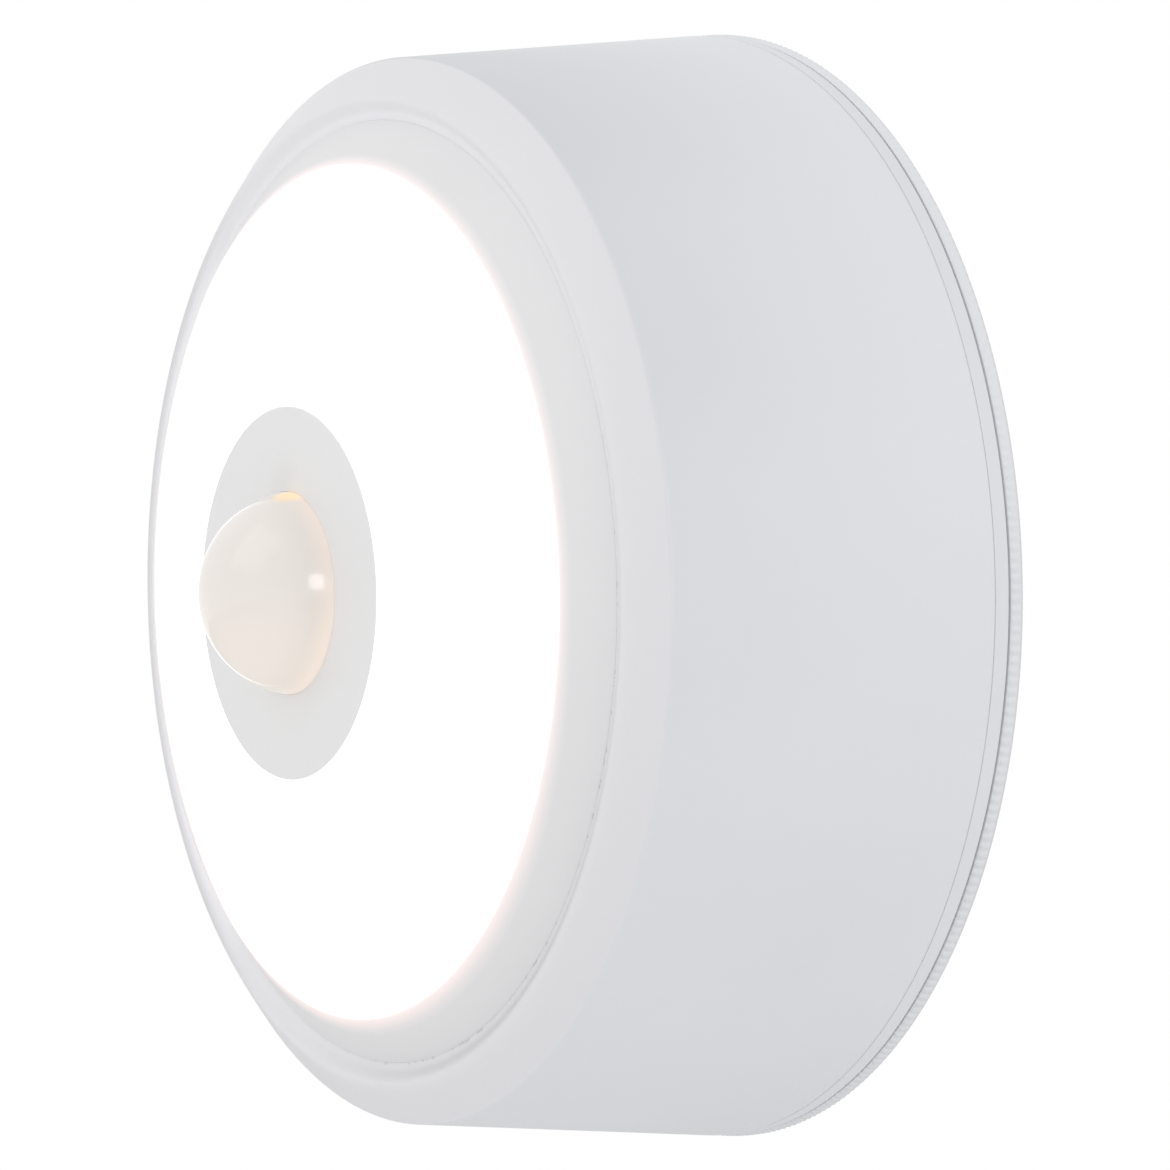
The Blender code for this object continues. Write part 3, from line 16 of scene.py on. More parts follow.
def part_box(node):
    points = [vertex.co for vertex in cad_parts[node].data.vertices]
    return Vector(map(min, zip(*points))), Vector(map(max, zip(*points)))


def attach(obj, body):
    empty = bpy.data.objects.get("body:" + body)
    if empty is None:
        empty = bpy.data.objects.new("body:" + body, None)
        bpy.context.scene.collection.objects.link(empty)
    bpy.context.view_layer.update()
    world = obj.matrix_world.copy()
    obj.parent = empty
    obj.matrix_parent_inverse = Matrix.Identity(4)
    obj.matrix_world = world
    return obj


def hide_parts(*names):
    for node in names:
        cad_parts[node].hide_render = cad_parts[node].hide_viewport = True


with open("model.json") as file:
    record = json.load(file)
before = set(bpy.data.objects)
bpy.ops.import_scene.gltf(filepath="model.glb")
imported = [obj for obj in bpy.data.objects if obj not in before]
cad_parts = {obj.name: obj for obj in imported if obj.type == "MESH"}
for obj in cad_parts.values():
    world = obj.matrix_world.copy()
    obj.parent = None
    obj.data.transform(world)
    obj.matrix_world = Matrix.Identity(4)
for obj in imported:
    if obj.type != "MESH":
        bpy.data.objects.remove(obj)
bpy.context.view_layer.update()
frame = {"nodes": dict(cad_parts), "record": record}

bl_info = {
    "name": "Motion-sensor ceiling light",
    "version": (1, 0, 0),
    "blender": (4, 5, 0),
    "location": "3D View > Sidebar > Ceiling light",
    "description": "Builds the looks of a battery-powered ceiling light round its CAD frame",
    "category": "Add Mesh",
}

TIPPED_FORWARD = Matrix.Rotation(pi / 2, 4, "X")
OVERRUN = 0.001
EMBED = 0.0005
GAP = 0.0003
FILLET_STEPS = 4
RIB_STEPS = 8
TURNED_STEPS = 288
SMALL_STEPS = 32
SHARP_ANGLE = radians(32)
INNER_SHARP_ANGLE = radians(40)
INNER_EDGE = 0.0001
FINE_EDGE = 0.00012
SCREW_HOLE = 0.0015
DIAGONAL = 0.707

# Mounting plate: its rim, the ledge in the seam, the raised lands, the cells' rests and the recesses
RIM_EDGE = 0.0002
RIB_MARGIN = 0.0004
LEDGE_HEIGHT = 0.0003
LEDGE_WIDTH = 0.0012
LEDGE_OUTER_SLOPE = 0.00005
LEDGE_INNER_SLOPE = 0.0002
LAND_MARGIN = 0.0036
LAND_HEIGHT = 0.0008
LAND_CORNER = 0.003
CELL_REST_PLACE = 0.0174
CELL_REST_SIZE = (0.068, 0.002)
CELL_REST_CORNER = 0.0008
CELL_REST_ROOM = 0.0006
RECESS_RINGS = ((0.016, 0.0325, 2), (0.0345, 0.0525, 4), (0.0545, 0.0735, 6))
RECESS_CORNER = 0.0018
RECESS_STEPS = 20
RECESS_BAR_MARGIN = 0.0046

# Bayonet
TWIST = radians(20)
HOOK_COUNT = 4
HOOK_RADII = (0.0755, 0.0779)
HOOK_POST_ANGLE = radians(5)
HOOK_TAB_ANGLE = radians(10)
HOOK_TAB_OVERRUN = radians(1)
HOOK_PLAY = 0.0004
HOOK_PLAY_ANGLE = radians(0.6)
HOOK_THICKNESS = 0.0018
HOOK_CORNER = 0.0006
HOOK_STEPS = 16
HOOK_SLOT_CORNER = 0.0008

# Battery tray
FLANGE_THICKNESS = 0.0022
FLANGE_HOLE = 0.0005
POCKET_SIZE = (0.06745, 0.0371)
POCKET_WALL = 0.0016
POCKET_CUT = (0.0026, 0.0056)
POCKET_CORNER = 0.0025
CUP_RADIUS = 0.0044
CUP_HEIGHT = 0.0054
CUP_BORE_RADIUS = 0.0029
CUP_BORE_DEPTH = 0.0038
BOARD_BOSS_RADIUS = 0.0028
BOARD_BORE_DEPTH = 0.0047
TOWER_BOSS_RADIUS = 0.0026
TOWER_BOSS_DEPTH = 0.006
TOWER_BORE_DEPTH = 0.007
SWITCH_SLOT_SIZE = (0.0096, 0.003)
SWITCH_SLOT_CORNER = 0.0004

# Housing
HOUSING_WALL = 0.0022
NOSE_SETBACK_SHARE = 0.4
CROWN_CORNER_LIFT = 0.0004
STEP_SETBACK = 0.0001
STEP_DEPTH = 0.00025
COLUMN_FOOT = 0.0057
COLUMN_RADIUS = 0.0032
COLUMN_BORE_DEPTH = 0.014

# Diffuser
DIFFUSER_WALL = 0.002
DIFFUSER_FLANGE = 0.0015
DIFFUSER_HOLE_ROOM = 0.00012
SEAM_ROOM = 0.00001
BAND_FOOT_LIFT = 0.00004
BAND_FOOT_ROUND = 0.0001
BAND_INNER_ROUND = 0.001
FACE_STEPS = 28
FACE_INNER_STEPS = 12

# Sensor disc and lens
DISC_THICKNESS = 0.002
DISC_EDGE = 0.00035
DISC_HOLE_ROOM = 0.00003
DISC_HOLE_EDGE = 0.00004
DISC_UNDER_ROOM = 0.00006
SKIRT_RADIUS = 0.02405
SKIRT_WALL = 0.0018
SKIRT_EDGE = 0.0002
LENS_WALL = 0.0009
LENS_FLANGE_WIDTH = 0.0018
LENS_FLANGE_THICKNESS = 0.0012
LENS_ARC_STEPS = 40
LENS_STEPS = 128

# Cells and springs
CELL_STEPS = 72
CELL_BARE_RADIUS = 0.0136
SPRING_WIRE = 0.0004
SPRING_END_RADIUS = 0.0042
SPRING_TURNS = 4
SPRING_STEPS_PER_TURN = 28
SPRING_SIDES = 10

# Screws, drawn from the top of the head
SCREW_HEAD_RADIUS = 0.0026
SCREW_HEAD_HEIGHT = 0.0014
SCREW_SHANK_RADIUS = 0.0012
SCREW_THREAD_SHARE = 0.76
SCREW_PITCH = 0.0009
SCREW_NECK = 0.0003
SCREW_TIP = 0.0006
SCREW_STEPS = 24
RECESS_CROSS = (0.0026, 0.0005)
RECESS_CROSS_DEPTH = 0.0009
RECESS_CROSS_CORNER = 0.0001

# Stage
LIGHT_MIDDLE = Vector((0, -0.03, 0))
CAMERA_TARGET = Vector((0, -0.035, 0))
CAMERA_SHIFT = (0.01111, 0.00061)


# Sizes and colours that a user may change


def length(name, default, description):
    settings = {"default": default, "min": 0.0, "precision": 5, "subtype": "DISTANCE", "unit": "LENGTH"}
    return bpy.props.FloatProperty(name=name, description=description, **settings)


def whole_number(name, default, description):
    return bpy.props.IntProperty(name=name, description=description, default=default, min=1)


def share(name, default, description):
    return bpy.props.FloatProperty(name=name, description=description, default=default, min=0.0, max=1.0)


def tone(name, default, description):
    return bpy.props.FloatVectorProperty(
        name=name, description=description, default=default, size=3, min=0.0, max=1.0, subtype="COLOR"
    )


def turn(name, default, description):
    return bpy.props.FloatProperty(
        name=name, description=description, default=radians(default), subtype="ANGLE", unit="ROTATION"
    )


def recorded_colour(slot):
    """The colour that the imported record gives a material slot."""
    finishes = {finish["slot"]: finish["base_color"] for finish in frame["record"]["materials"]}
    return tuple(finishes[slot])


def heights(node):
    """Lowest and highest point of a CAD node above the mounting face."""
    low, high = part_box(node)
    return -high.y, -low.y


def reach(node):
    """How far a CAD node reaches from the axis, along X."""
    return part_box(node)[1].x


def place_of(node):
    """A CAD node's centre as the light lies on the bench."""
    low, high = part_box(node)
    centre = (low + high) / 2
    return Vector((centre.x, centre.z, -centre.y))


class LightSizes(bpy.types.PropertyGroup):
    """Sizes of the pieces that are drawn here."""

    rim_radius: length("Rim radius", reach("mounting_plate"), "Radius of the mounting plate over its ribs")
    rib_count: whole_number("Rib count", 360, "Number of grip ribs round the mounting plate's rim")
    rib_depth: length("Rib depth", 0.0002, "Depth of the grip ribs on the mounting plate's rim")
    plate_thickness: length("Plate thickness", 0.002, "Thickness of the mounting plate")
    recess_depth: length("Recess depth", 0.0007, "Depth of the recesses in the mounting plate's back")
    recess_rib: length("Recess rib", 0.0016, "Width of the ribs between the recesses in the plate's back")
    keyhole_place: length("Keyhole place", 0.042, "Distance from the axis to the head hole of each keyhole")
    keyhole_head: length("Keyhole head", 0.0045, "Radius of each keyhole's head hole")
    keyhole_neck: length("Keyhole neck", 0.0023, "Half the width of each keyhole's neck")
    keyhole_slide: length("Keyhole slide", 0.009, "Length of each keyhole's neck")
    flange_radius: length("Flange radius", reach("battery_tray"), "Radius of the battery tray's flange")
    wall_top_radius: length("Wall top radius", 0.07767, "Radius of the side wall where the nose begins")
    shoulder: length("Shoulder", 0.05419, "Height at which the nose begins on the side wall")
    shoulder_round: length("Shoulder round", 0.0009, "Radius of the round at the shoulder")
    nose_round: length("Nose round", 0.003, "Radius of the rounds at the other corners of the nose")
    valley_width: length("Valley width", 0.0012, "From the joint line out to where the nose rises")
    crown_inset: length("Crown inset", 0.0031, "From the joint line out to the crown of the nose")
    crown_rise: length("Crown rise", 0.0012, "Height of the housing's front over the joint line")
    slope_inset: length("Slope inset", 0.0053, "From the joint line out to where the nose slopes down")
    slope_drop: length("Slope drop", 0.0013, "From the housing's front down to where the slope begins")
    seam_radius: length("Seam radius", 0.06851, "Radius of the joint line between the nose and the diffuser")
    ledge_radius: length("Ledge radius", 0.0816, "Radius of the ledge in the seam at the back")
    lit_radius: length("Lit radius", 0.06251, "Outer radius of the lit face")
    glow_radius: length("Glow radius", 0.062, "Radius at which the light of the lit face begins to fade")
    band_rise: length("Band rise", 0.005, "Height of the unlit band between the joint line and the lit face")
    bezel_radius: length("Bezel radius", 0.02705, "Radius of the disc round the sensor's lens")
    lens_radius: length("Lens radius", 0.01483, "Radius of the sensor's domed lens")


class LightColours(bpy.types.PropertyGroup):
    """Colours of the finishes."""

    body: tone("Body", (0.752, 0.763, 0.79), "Moulded plastic of the housing and the mounting plate")
    tray: tone("Tray", (0.785, 0.793, 0.823), "Moulded plastic of the battery tray")
    # Painted light: the nose is a lighter, warmer copy of the body's plastic, where it faces the front lamps
    nose: tone("Nose", (0.778, 0.774, 0.798), "Moulded plastic of the housing's nose")
    disc: tone("Disc", (0.797, 0.797, 0.8), "Moulded plastic of the disc round the lens")
    opal: tone("Opal", (0.79, 0.785, 0.797), "Opal plastic of the diffuser where it isn't lit")
    glow: tone("Glow", (1.0, 1.0, 0.98), "Light of the lit face")
    fringe: tone("Fringe", (0.26, 0.172, 0.152), "Light that fades out beside the lit face")
    low_fringe: tone("Low fringe", (0.31, 0.198, 0.163), "The same at the bottom, where it reaches further")
    lens: tone("Lens", (0.81, 0.757, 0.705), "Milky plastic of the sensor's lens")
    # Painted light of the lit face in the lens's foot: a warm tint and a warm spot
    painted_lens_foot_light: tone("Lens tint", (0.83, 0.745, 0.665), "Warm tint at the lens's foot")
    painted_lens_spot_light: tone("Lens spot", (0.98, 0.76, 0.47), "Warm spot at the top of the lens's foot")
    # Painted light: glows that the lens, which is no lamp, gives for light of the lit face that comes through
    # it
    lens_glow: tone("Lens glow", (0.028, 0.03, 0.04), "Light that comes through all of the lens")
    low_glow: tone("Low glow", (0.11, 0.085, 0.055), "Light that comes through the lens's lower half besides")
    foot_glow: tone("Foot glow", (0.11, 0.085, 0.075), "Light of the lit face in the lens's foot")
    spot_glow: tone("Spot glow", (0.12, 0.06, 0.0), "Light in the warm spot at the top of the foot")
    solder_mask: tone("Solder mask", recorded_colour("board_green"), "Coating of the green boards")


class StageSettings(bpy.types.PropertyGroup):
    """Floor, light and camera."""

    floor_drop: length("Floor drop", 0.35, "Distance of the floor below the light's axis")
    floor_radius: length("Floor radius", 2.0, "Radius of the floor")
    floor_colour: tone("Floor colour", (0.86, 0.86, 0.86), "Colour of the floor")
    ambient: share("Ambient", 0.78, "Strength of the even light from all round")
    lamp_distance: length("Lamp distance", 1.1, "Distance of the lamps from the light")
    azimuth: turn("Azimuth", 59.46, "Direction of the camera round the light")
    elevation: turn("Elevation", -0.86, "Height of the camera as an angle")
    roll: turn("Roll", -1.51, "Tilt of the camera about its own axis")
    distance: length("Distance", 0.9, "Distance of the camera from the point that it looks at")
    focal_length: bpy.props.FloatProperty(
        name="Focal length", description="Focal length of the camera in millimetres", default=187.8, min=1.0
    )


# Drawing


def filleted(corners, closed=True):
    """Points of a profile or an outline. Corners are (x, y, fillet radius); each fillet is a smooth curve."""
    points = []
    last = len(corners) - 1
    for index, (x, y, radius) in enumerate(corners):
        corner = Vector((x, y))
        at_end = not closed and index in (0, last)
        if radius == 0 or at_end:
            points.append((x, y))
            continue
        before = Vector(corners[index - 1][:2]) - corner
        after = Vector(corners[(index + 1) % len(corners)][:2]) - corner
        half = before.angle(after) / 2
        run = min(radius / max(abs(sin(half) / cos(half)), 1e-6), before.length / 2, after.length / 2)
        start = corner + before.normalized() * run
        end = corner + after.normalized() * run
        points += corner_curve(start, corner, end)
    return points


def arc(radius, start, end, centre=(0, 0), steps=24):
    """Points of an arc about a centre, from one angle to another."""
    angles = [start + (end - start) * step / steps for step in range(steps + 1)]
    return [(centre[0] + radius * cos(angle), centre[1] + radius * sin(angle)) for angle in angles]


def new_piece(name, shape):
    """An object of a bench drawing. The mesh is tipped forward, so that it lies in the frame as it is."""
    bmesh.ops.recalc_face_normals(shape, faces=shape.faces)
    mesh = bpy.data.meshes.new(name)
    shape.to_mesh(mesh)
    shape.free()
    mesh.transform(TIPPED_FORWARD)
    piece = bpy.data.objects.new(name, mesh)
    bpy.context.scene.collection.objects.link(piece)
    return piece


def turned(name, profile, steps=TURNED_STEPS, closed=True):
    """A profile turned about an upright axis. An open profile's ends are capped or lie on the axis."""
    shape = bmesh.new()
    rings = []
    for radius, height in profile:
        if radius < 1e-7:
            rings.append([shape.verts.new((0, 0, height))])
            continue
        ring = []
        for step in range(steps):
            x, y = polar(radius, 2 * pi * step / steps)
            ring.append(shape.verts.new((x, y, height)))
        rings.append(ring)
    following = rings[1:] + rings[:1] if closed else rings[1:]
    for first, second in zip(rings, following):
        bridge(shape, first, second)
    if not closed:
        for ring in (rings[0], rings[-1]):
            if len(ring) > 1:
                shape.faces.new(ring)
    return new_piece(name, shape)


def bridge(shape, first, second):
    """Faces between two rings, either of which may be a single point."""
    count = max(len(first), len(second))
    for step in range(count):
        after = (step + 1) % count
        loop = []
        for ring, order in ((first, (step, after)), (second, (after, step))):
            loop += [ring[0]] if len(ring) == 1 else [ring[place] for place in order]
        shape.faces.new(loop)


def prism(name, outlines, bottom, top):
    """Upright walls on one or more outlines, closed at the bottom and the top."""
    shape = bmesh.new()
    for outline in outlines:
        low = [shape.verts.new((x, y, bottom)) for x, y in outline]
        high = [shape.verts.new((x, y, top)) for x, y in outline]
        shape.faces.new(low[::-1])
        shape.faces.new(high)
        bridge(shape, low, high)
    return new_piece(name, shape)


def circle(centre, radius, steps=SMALL_STEPS):
    return arc(radius, 0, 2 * pi * (1 - 1 / steps), centre, steps - 1)


def rectangle(centre, size, corner=0.0):
    half_x, half_y = size[0] / 2, size[1] / 2
    signs = ((1, 1), (-1, 1), (-1, -1), (1, -1))
    return filleted([(centre[0] + i * half_x, centre[1] + j * half_y, corner) for i, j in signs])


def sector(inner, outer, start, end, corner=0.0, steps=24):
    """Outline of a part of a ring between two angles. Its four corners are rounded unless corner is zero."""
    tuck_out = corner / outer
    tuck_in = corner / inner
    outside = arc(outer, start + tuck_out, end - tuck_out, steps=steps)
    inside = arc(inner, end - tuck_in, start + tuck_in, steps=steps)
    if corner == 0:
        return outside + inside
    return [
        *outside,
        *corner_curve(outside[-1], polar(outer, end), polar(outer - corner, end)),
        *corner_curve(polar(inner + corner, end), polar(inner, end), inside[0]),
        *inside,
        *corner_curve(inside[-1], polar(inner, start), polar(inner + corner, start)),
        *corner_curve(polar(outer - corner, start), polar(outer, start), outside[0]),
    ]


def polar(radius, angle):
    return radius * cos(angle), radius * sin(angle)


def corner_curve(start, corner, end):
    """Points of a smooth curve from start to end that bends at the corner."""
    start, corner, end = Vector(start), Vector(corner), Vector(end)
    points = []
    for step in range(FILLET_STEPS + 1):
        t = step / FILLET_STEPS
        spot = start * (1 - t) ** 2 + corner * 2 * t * (1 - t) + end * t**2
        points.append((spot.x, spot.y))
    return points


def boolean(piece, tool, operation):
    """Adds a helper shape to a piece, or cuts it away, and removes the helper."""
    modifier = piece.modifiers.new(operation.lower(), "BOOLEAN")
    modifier.operation = operation
    modifier.solver = "EXACT"
    modifier.object = tool
    bpy.context.view_layer.update()
    evaluated = piece.evaluated_get(bpy.context.evaluated_depsgraph_get())
    mesh = bpy.data.meshes.new_from_object(evaluated)
    piece.modifiers.clear()
    old = piece.data
    piece.data = mesh
    mesh.name = piece.name
    bpy.data.meshes.remove(old)
    helper = tool.data
    bpy.data.objects.remove(tool)
    bpy.data.meshes.remove(helper)
    if not mesh.polygons:
        raise RuntimeError(f"{piece.name} lost all its faces in a {operation.lower()}")


def fuse(piece, *tools):
    for tool in tools:
        boolean(piece, tool, "UNION")


def carve(piece, *tools):
    for tool in tools:
        boolean(piece, tool, "DIFFERENCE")


def shade(piece, edge=0.0):
    """Smooth shading up to a sharp angle, after a fine round on the sharp edges where edge isn't zero."""
    piece.data.shade_smooth()
    piece.data.set_sharp_from_angle(angle=SHARP_ANGLE)
    if edge:
        bevel = piece.modifiers.new("fine edges", "BEVEL")
        bevel.width = edge
        bevel.segments = 2
        bevel.limit_method = "ANGLE"
        bevel.angle_limit = SHARP_ANGLE
        bevel.harden_normals = True


def dress(piece, body, slot, *nodes):
    """Gives a piece its finish, its body and the CAD nodes that it stands for."""
    if not piece.data.materials:
        piece.data.materials.append(surface(slot))
    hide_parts(*nodes)
    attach(piece, body)


# Shader groups, and the helpers that build them and the materials


def new_group(name, inputs, outputs):
    """An empty shader group with named sockets. Inputs are (name, kind, default)."""
    tree = bpy.data.node_groups.new(name, "ShaderNodeTree")
    for label, kind, default in inputs:
        socket = tree.interface.new_socket(name=label, in_out="INPUT", socket_type=kind)
        socket.default_value = default
    for label, kind in outputs:
        tree.interface.new_socket(name=label, in_out="OUTPUT", socket_type=kind)
    given = tree.nodes.new("NodeGroupInput")
    result = tree.nodes.new("NodeGroupOutput")
    return tree, given, result


def surface_outputs(height):
    """Output sockets of a group that gives a colour, a roughness and a height."""
    return [("Colour", "NodeSocketColor"), ("Roughness", "NodeSocketFloat"), (height, "NodeSocketFloat")]


def add_node(tree, kind, inputs=None, **settings):
    """A node with its settings and the values or links of its inputs."""
    made = tree.nodes.new(kind)
    for name, value in settings.items():
        setattr(made, name, value)
    for name, value in (inputs or {}).items():
        if isinstance(value, bpy.types.NodeSocket):
            tree.links.new(value, made.inputs[name])
        else:
            made.inputs[name].default_value = value
    return made


def math_node(tree, operation, *values):
    made = add_node(tree, "ShaderNodeMath", dict(enumerate(values)), operation=operation)
    return made.outputs[0]


def grey(tree, level):
    """A colour with the same level in all three channels."""
    return add_node(tree, "ShaderNodeCombineColor", {"Red": level, "Green": level, "Blue": level}).outputs[0]


def mixed(tree, kind, factor, first, second, blend="MIX"):
    """A Mix node's result; kind is FLOAT or RGBA."""
    made = add_node(tree, "ShaderNodeMix", data_type=kind)
    if kind == "RGBA":
        made.blend_type = blend
    kinds = {"FLOAT": "VALUE", "RGBA": "RGBA"}
    sockets = [socket for socket in made.inputs if socket.type == kinds[kind] and socket.enabled]
    if kind == "FLOAT":
        sockets = [socket for socket in sockets if socket.name in ("A", "B")]
    for socket, value in zip(sockets[-2:], (first, second)):
        put(tree, socket, value)
    put(tree, made.inputs[0], factor)
    results = [socket for socket in made.outputs if socket.enabled]
    return results[0]


def put(tree, socket, value):
    """Links a socket to another, or sets its value."""
    if isinstance(value, bpy.types.NodeSocket):
        tree.links.new(value, socket)
    elif socket.type == "RGBA":
        socket.default_value = (*value[:3], 1.0)
    else:
        socket.default_value = value


def product(tree, *values):
    """The product of two or more values."""
    result = values[0]
    for value in values[1:]:
        result = math_node(tree, "MULTIPLY", result, value)
    return result


def scaled(tree, colour, level):
    """A colour with all three channels multiplied by a level."""
    return mixed(tree, "RGBA", 1.0, colour, grey(tree, level), "MULTIPLY")


def give(tree, result, *values):
    """Links a group's results to its output sockets, in their order."""
    for value, socket in zip(values, result.inputs):
        tree.links.new(value, socket)


def mapped(tree, value, low, high, to_low, to_high, smooth=False):
    made = add_node(
        tree,
        "ShaderNodeMapRange",
        {"Value": value, "From Min": low, "From Max": high, "To Min": to_low, "To Max": to_high},
    )
    if smooth:
        made.interpolation_type = "SMOOTHSTEP"
    return made.outputs["Result"]


def own_place(tree):
    """The object's own coordinates, which don't move with the camera."""
    return add_node(tree, "ShaderNodeTexCoord").outputs["Object"]


def noise(tree, scale, detail=2.0, place=None):
    inputs = {"Vector": place or own_place(tree), "Scale": scale, "Detail": detail}
    return add_node(tree, "ShaderNodeTexNoise", inputs).outputs["Fac"]


def polar_place(tree):
    """Distance from the light's axis, with X, Y and Z."""
    apart = add_node(tree, "ShaderNodeSeparateXYZ", {"Vector": own_place(tree)})
    across, along, up = [apart.outputs[axis] for axis in ("X", "Y", "Z")]
    squares = [math_node(tree, "MULTIPLY", axis, axis) for axis in (across, up)]
    return math_node(tree, "SQRT", math_node(tree, "ADD", *squares)), across, along, up


def distance_from(tree, spot):
    """Distance from a spot in the object's own coordinates."""
    inputs = {0: own_place(tree), 1: spot}
    return add_node(tree, "ShaderNodeVectorMath", inputs, operation="DISTANCE").outputs["Value"]


def moulded_group():
    """Moulded plastic: slow changes of tone and gloss, and the fine grain of the mould."""
    name = "Moulded skin"
    if name in bpy.data.node_groups:
        return bpy.data.node_groups[name]
    inputs = [
        ("Colour", "NodeSocketColor", (0.8, 0.8, 0.8, 1.0)),
        ("Tone change", "NodeSocketFloat", 0.02),
        ("Roughness", "NodeSocketFloat", 0.4),
        ("Roughness change", "NodeSocketFloat", 0.06),
        ("Grain density", "NodeSocketFloat", 2500.0),
    ]
    tree, given, result = new_group(name, inputs, surface_outputs("Grain"))
    slow = noise(tree, 28.0, 3.0)
    swing = mapped(tree, slow, 0.3, 0.7, -1.0, 1.0)
    gain = math_node(tree, "MULTIPLY_ADD", swing, given.outputs["Tone change"], 1.0)
    colour = scaled(tree, given.outputs["Colour"], gain)
    grain = noise(tree, given.outputs["Grain density"], 1.0)
    change, roughness = given.outputs["Roughness change"], given.outputs["Roughness"]
    give(tree, result, colour, math_node(tree, "MULTIPLY_ADD", swing, change, roughness), grain)
    return tree


def streaked_group():
    """Rolled or drawn metal: fine streaks along one direction, with slow changes of tone."""
    name = "Streaked metal"
    if name in bpy.data.node_groups:
        return bpy.data.node_groups[name]
    inputs = [
        ("Colour", "NodeSocketColor", (0.6, 0.6, 0.6, 1.0)),
        ("Roughness", "NodeSocketFloat", 0.3),
        ("Streak stretch", "NodeSocketVector", (1.0, 12.0, 12.0)),
        ("Streak density", "NodeSocketFloat", 300.0),
    ]
    tree, given, result = new_group(name, inputs, surface_outputs("Streaks"))
    inputs = {0: own_place(tree), 1: given.outputs["Streak stretch"]}
    place = add_node(tree, "ShaderNodeVectorMath", inputs, operation="MULTIPLY").outputs[0]
    streaks = noise(tree, given.outputs["Streak density"], 3.0, place)
    slow = noise(tree, 90.0, 2.0)
    level = math_node(tree, "MULTIPLY_ADD", streaks, 0.12, mapped(tree, slow, 0.3, 0.7, 0.86, 0.98))
    colour = scaled(tree, given.outputs["Colour"], level)
    dulled = math_node(tree, "MULTIPLY_ADD", streaks, 0.16, given.outputs["Roughness"])
    give(tree, result, colour, dulled, streaks)
    return tree


def printed_board_group():
    """A printed circuit board: traces that show through the solder mask, and round pads."""
    name = "Printed board"
    if name in bpy.data.node_groups:
        return bpy.data.node_groups[name]
    inputs = [
        ("Mask", "NodeSocketColor", (0.03, 0.16, 0.07, 1.0)),
        ("Trace", "NodeSocketColor", (0.07, 0.3, 0.12, 1.0)),
        ("Pad", "NodeSocketColor", (0.7, 0.7, 0.68, 1.0)),
        ("Trace density", "NodeSocketFloat", 180.0),
    ]
    tree, given, result = new_group(name, inputs, surface_outputs("Relief"))
    apart = add_node(tree, "ShaderNodeSeparateXYZ", {"Vector": own_place(tree)})
    inputs = {"X": apart.outputs["X"], "Y": apart.outputs["Z"]}
    flat = add_node(tree, "ShaderNodeCombineXYZ", inputs).outputs[0]
    bricks = add_node(
        tree,
        "ShaderNodeTexBrick",
        {"Vector": flat, "Scale": given.outputs["Trace density"], "Mortar Size": 0.06, "Mortar Smooth": 0.2},
        offset=0.37,
        offset_frequency=3,
        squash=0.6,
        squash_frequency=2,
    )
    traces = bricks.outputs["Fac"]
    cells = add_node(tree, "ShaderNodeTexVoronoi", {"Vector": flat, "Scale": given.outputs["Trace density"]})
    pads = mapped(tree, cells.outputs["Distance"], 0.1, 0.13, 1.0, 0.0)
    masked = mixed(tree, "RGBA", traces, given.outputs["Mask"], given.outputs["Trace"])
    colour = mixed(tree, "RGBA", pads, masked, given.outputs["Pad"])
    rough = mapped(tree, pads, 0.0, 1.0, 0.28, 0.4)
    relief = math_node(tree, "MAXIMUM", traces, pads)
    give(tree, result, colour, rough, relief)
    return tree


def fading_ring_group():
    """A colour inside one radius of the light's axis, and a second one beside it that fades to black."""
    name = "Fading ring"
    if name in bpy.data.node_groups:
        return bpy.data.node_groups[name]
    inputs = [
        ("Inside", "NodeSocketColor", (1.0, 1.0, 1.0, 1.0)),
        ("Beside", "NodeSocketColor", (0.2, 0.12, 0.1, 1.0)),
        ("Radius", "NodeSocketFloat", 0.06),
        ("Edge width", "NodeSocketFloat", 0.0002),
        ("Fade width", "NodeSocketFloat", 0.002),
    ]
    tree, given, result = new_group(name, inputs, [("Colour", "NodeSocketColor")])
    beyond = math_node(tree, "SUBTRACT", polar_place(tree)[0], given.outputs["Radius"])
    edge = math_node(tree, "DIVIDE", beyond, given.outputs["Edge width"])
    fade = math_node(tree, "DIVIDE", beyond, given.outputs["Fade width"])
    left = mapped(tree, fade, 0.0, 1.0, 1.0, 0.0)
    softened = math_node(tree, "POWER", left, 1.6)
    beside = mixed(tree, "RGBA", softened, (0.0, 0.0, 0.0), given.outputs["Beside"])
    outside = mapped(tree, edge, -1.0, 0.0, 0.0, 1.0)
    give(tree, result, mixed(tree, "RGBA", outside, given.outputs["Inside"], beside))
    return tree


# Materials: one for each slot of the record, and one each for the plate, the disc and the housing


def new_material(name, **sockets):
    """A material with a Principled shader and values on its own sockets."""
    made = bpy.data.materials.new(name)
    made.use_nodes = True
    tree = made.node_tree
    shader = tree.nodes["Principled BSDF"]
    for label, value in sockets.items():
        socket = shader.inputs[label.replace("_", " ")]
        socket.default_value = (*value, 1.0) if socket.type == "RGBA" else value
    return made, tree, shader


def use_group(tree, group, values):
    """Places a group in a material with its own values."""
    made = tree.nodes.new("ShaderNodeGroup")
    made.node_tree = group
    for label, value in values.items():
        put(tree, made.inputs[label], value)
    return made


def lit(tree, shader, colour, strength=1.0):
    """Gives the shader light of its own."""
    put(tree, shader.inputs["Emission Color"], colour)
    shader.inputs["Emission Strength"].default_value = strength


def skin_colour(tree):
    """The colour that the moulded skin gives a material."""
    return next(node for node in tree.nodes if node.type == "GROUP").outputs["Colour"]


def bumped(tree, shader, height, distance):
    """Feeds a height to the shader's normal. The distance is the relief's real depth."""
    bump = add_node(tree, "ShaderNodeBump", {"Height": height, "Distance": distance, "Strength": 1.0})
    tree.links.new(bump.outputs["Normal"], shader.inputs["Normal"])


